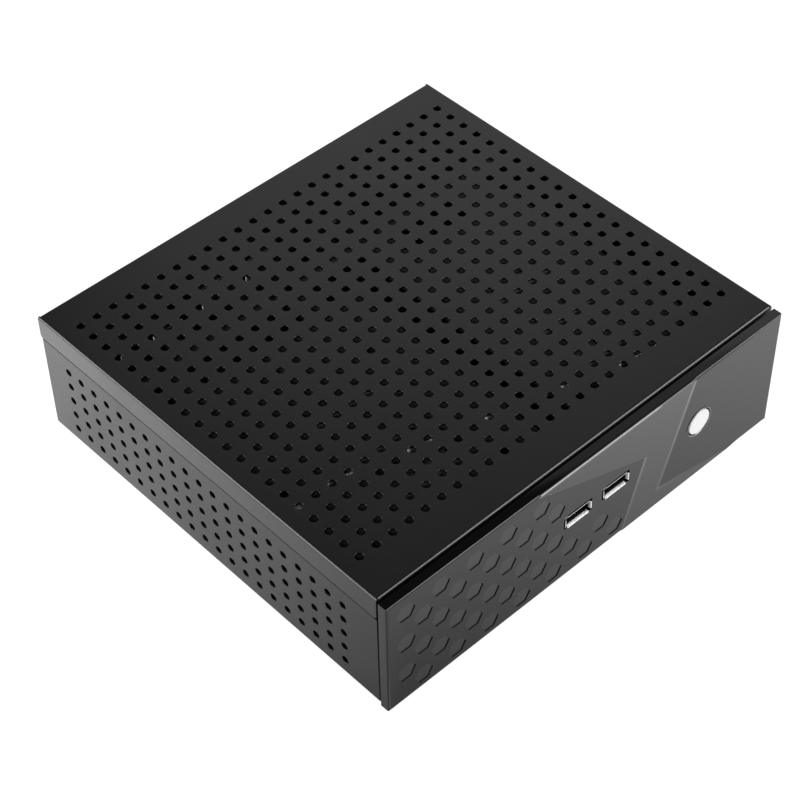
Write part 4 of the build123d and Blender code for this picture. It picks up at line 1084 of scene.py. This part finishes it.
def build_sockets():
    """Metal tube of each front socket with four curved flaps."""
    for side in ("left", "right"):
        low, high = box_mm(f"front_usb_shell_{side}")
        socket = (low + high) / 2
        shell = Shell()
        width, height = (2 * half for half in SHELL_HALF)
        outer = rectangle((socket.x, socket.z), width, height, 0.8)
        inner = rectangle((socket.x, socket.z), width - 2 * SHELL_WALL, height - 2 * SHELL_WALL, 0.5)
        levels = (low.y + FLAP_DEPTH - 0.2, high.y)
        rings = [[(x, y, z) for x, z in loop] for loop in (outer, inner) for y in levels]
        outer_front, outer_back, inner_front, inner_back = rings
        for lower, upper in ((outer_front, outer_back), (outer_back, inner_back),
                             (inner_back, inner_front), (inner_front, outer_front)):
            shell.band(lower, upper)
        for sign in (-1, 1):
            add_flap(shell, socket, low.y, (0, 0, sign), FLAP_HALF_LENGTHS[0], SHELL_HALF[1])
            add_flap(shell, socket, low.y, (sign, 0, 0), FLAP_HALF_LENGTHS[1], SHELL_HALF[0])
        shell.piece(f"socket_shell_{side}", "socket_metal", "case", [f"front_usb_shell_{side}"])


build_lid()
build_tray()
build_feet()
build_panel()
build_cap()
build_ring()
build_sockets()
dress_cad_nodes()

# ---------------------------------------------------------------- stage
floor_mesh = bpy.data.meshes.new("floor")
floor_mesh.from_pydata([(-6, -6, 0), (6, -6, 0), (6, 6, 0), (-6, 6, 0)], [], [(0, 1, 2, 3)])
floor = bpy.data.objects.new("floor", floor_mesh)
bpy.context.scene.collection.objects.link(floor)
floor_mesh.materials.append(floor_paper("floor_paper").material)

AZIMUTH, ELEVATION, ROLL = (math.radians(angle) for angle in (-42.476, 46.399, -1.064))
AIM = Vector((-14.06, -9.77, LID_HIGH.z - 31.0)) * MM
CAMERA_DISTANCE = 0.844
LENS = 96.41


def add_camera():
    """Camera that looks at AIM from the left, the front and above."""
    data = bpy.data.cameras.new("camera")
    data.sensor_width = 36.0
    data.lens = LENS
    camera = bpy.data.objects.new("camera", data)
    bpy.context.scene.collection.objects.link(camera)
    turn = Matrix.Rotation(AZIMUTH, 4, "Z") @ Matrix.Rotation(math.pi / 2 - ELEVATION, 4, "X")
    back = turn.to_3x3() @ Vector((0, 0, 1))
    camera.matrix_world = (
        Matrix.Translation(AIM + back * CAMERA_DISTANCE) @ turn @ Matrix.Rotation(ROLL, 4, "Z")
    )
    bpy.context.scene.camera = camera


def add_light(name, location, size, power, edge=None):
    """Square light that faces the object; one of its sides runs along the edge direction."""
    data = bpy.data.lights.new(name, "AREA")
    data.size, data.energy = size, power
    light = bpy.data.objects.new(name, data)
    bpy.context.scene.collection.objects.link(light)
    outward = Vector(location).normalized()
    side = Vector(edge) if edge else Vector((0, 0, 1)).cross(outward)
    side = (side - outward * side.dot(outward)).normalized()
    turn = Matrix((side, outward.cross(side), outward)).transposed().to_4x4()
    light.matrix_world = Matrix.Translation(Vector(location)) @ turn


add_camera()
CARD_EDGE = (-0.6, 0.8, 0)  # the cards' upper edge fades the lid's reflection towards its front
add_light("left_softbox", (-0.652, 0.458, 0.420), 0.6, 8)
add_light("right_softbox", (0.419, -0.652, 0.458), 0.6, 8)
add_light("high_card", (0.521, 0.506, 0.537), 0.6, 0.38, CARD_EDGE)
add_light("low_card", (0.574, 0.545, 0.449), 0.6, 0.42, CARD_EDGE)
world = bpy.data.worlds.new("world")
world.use_nodes = True
world.node_tree.nodes["Background"].inputs["Color"].default_value = grey(0.05)
bpy.context.scene.world = world
bpy.context.scene.view_settings.view_transform = "Standard"
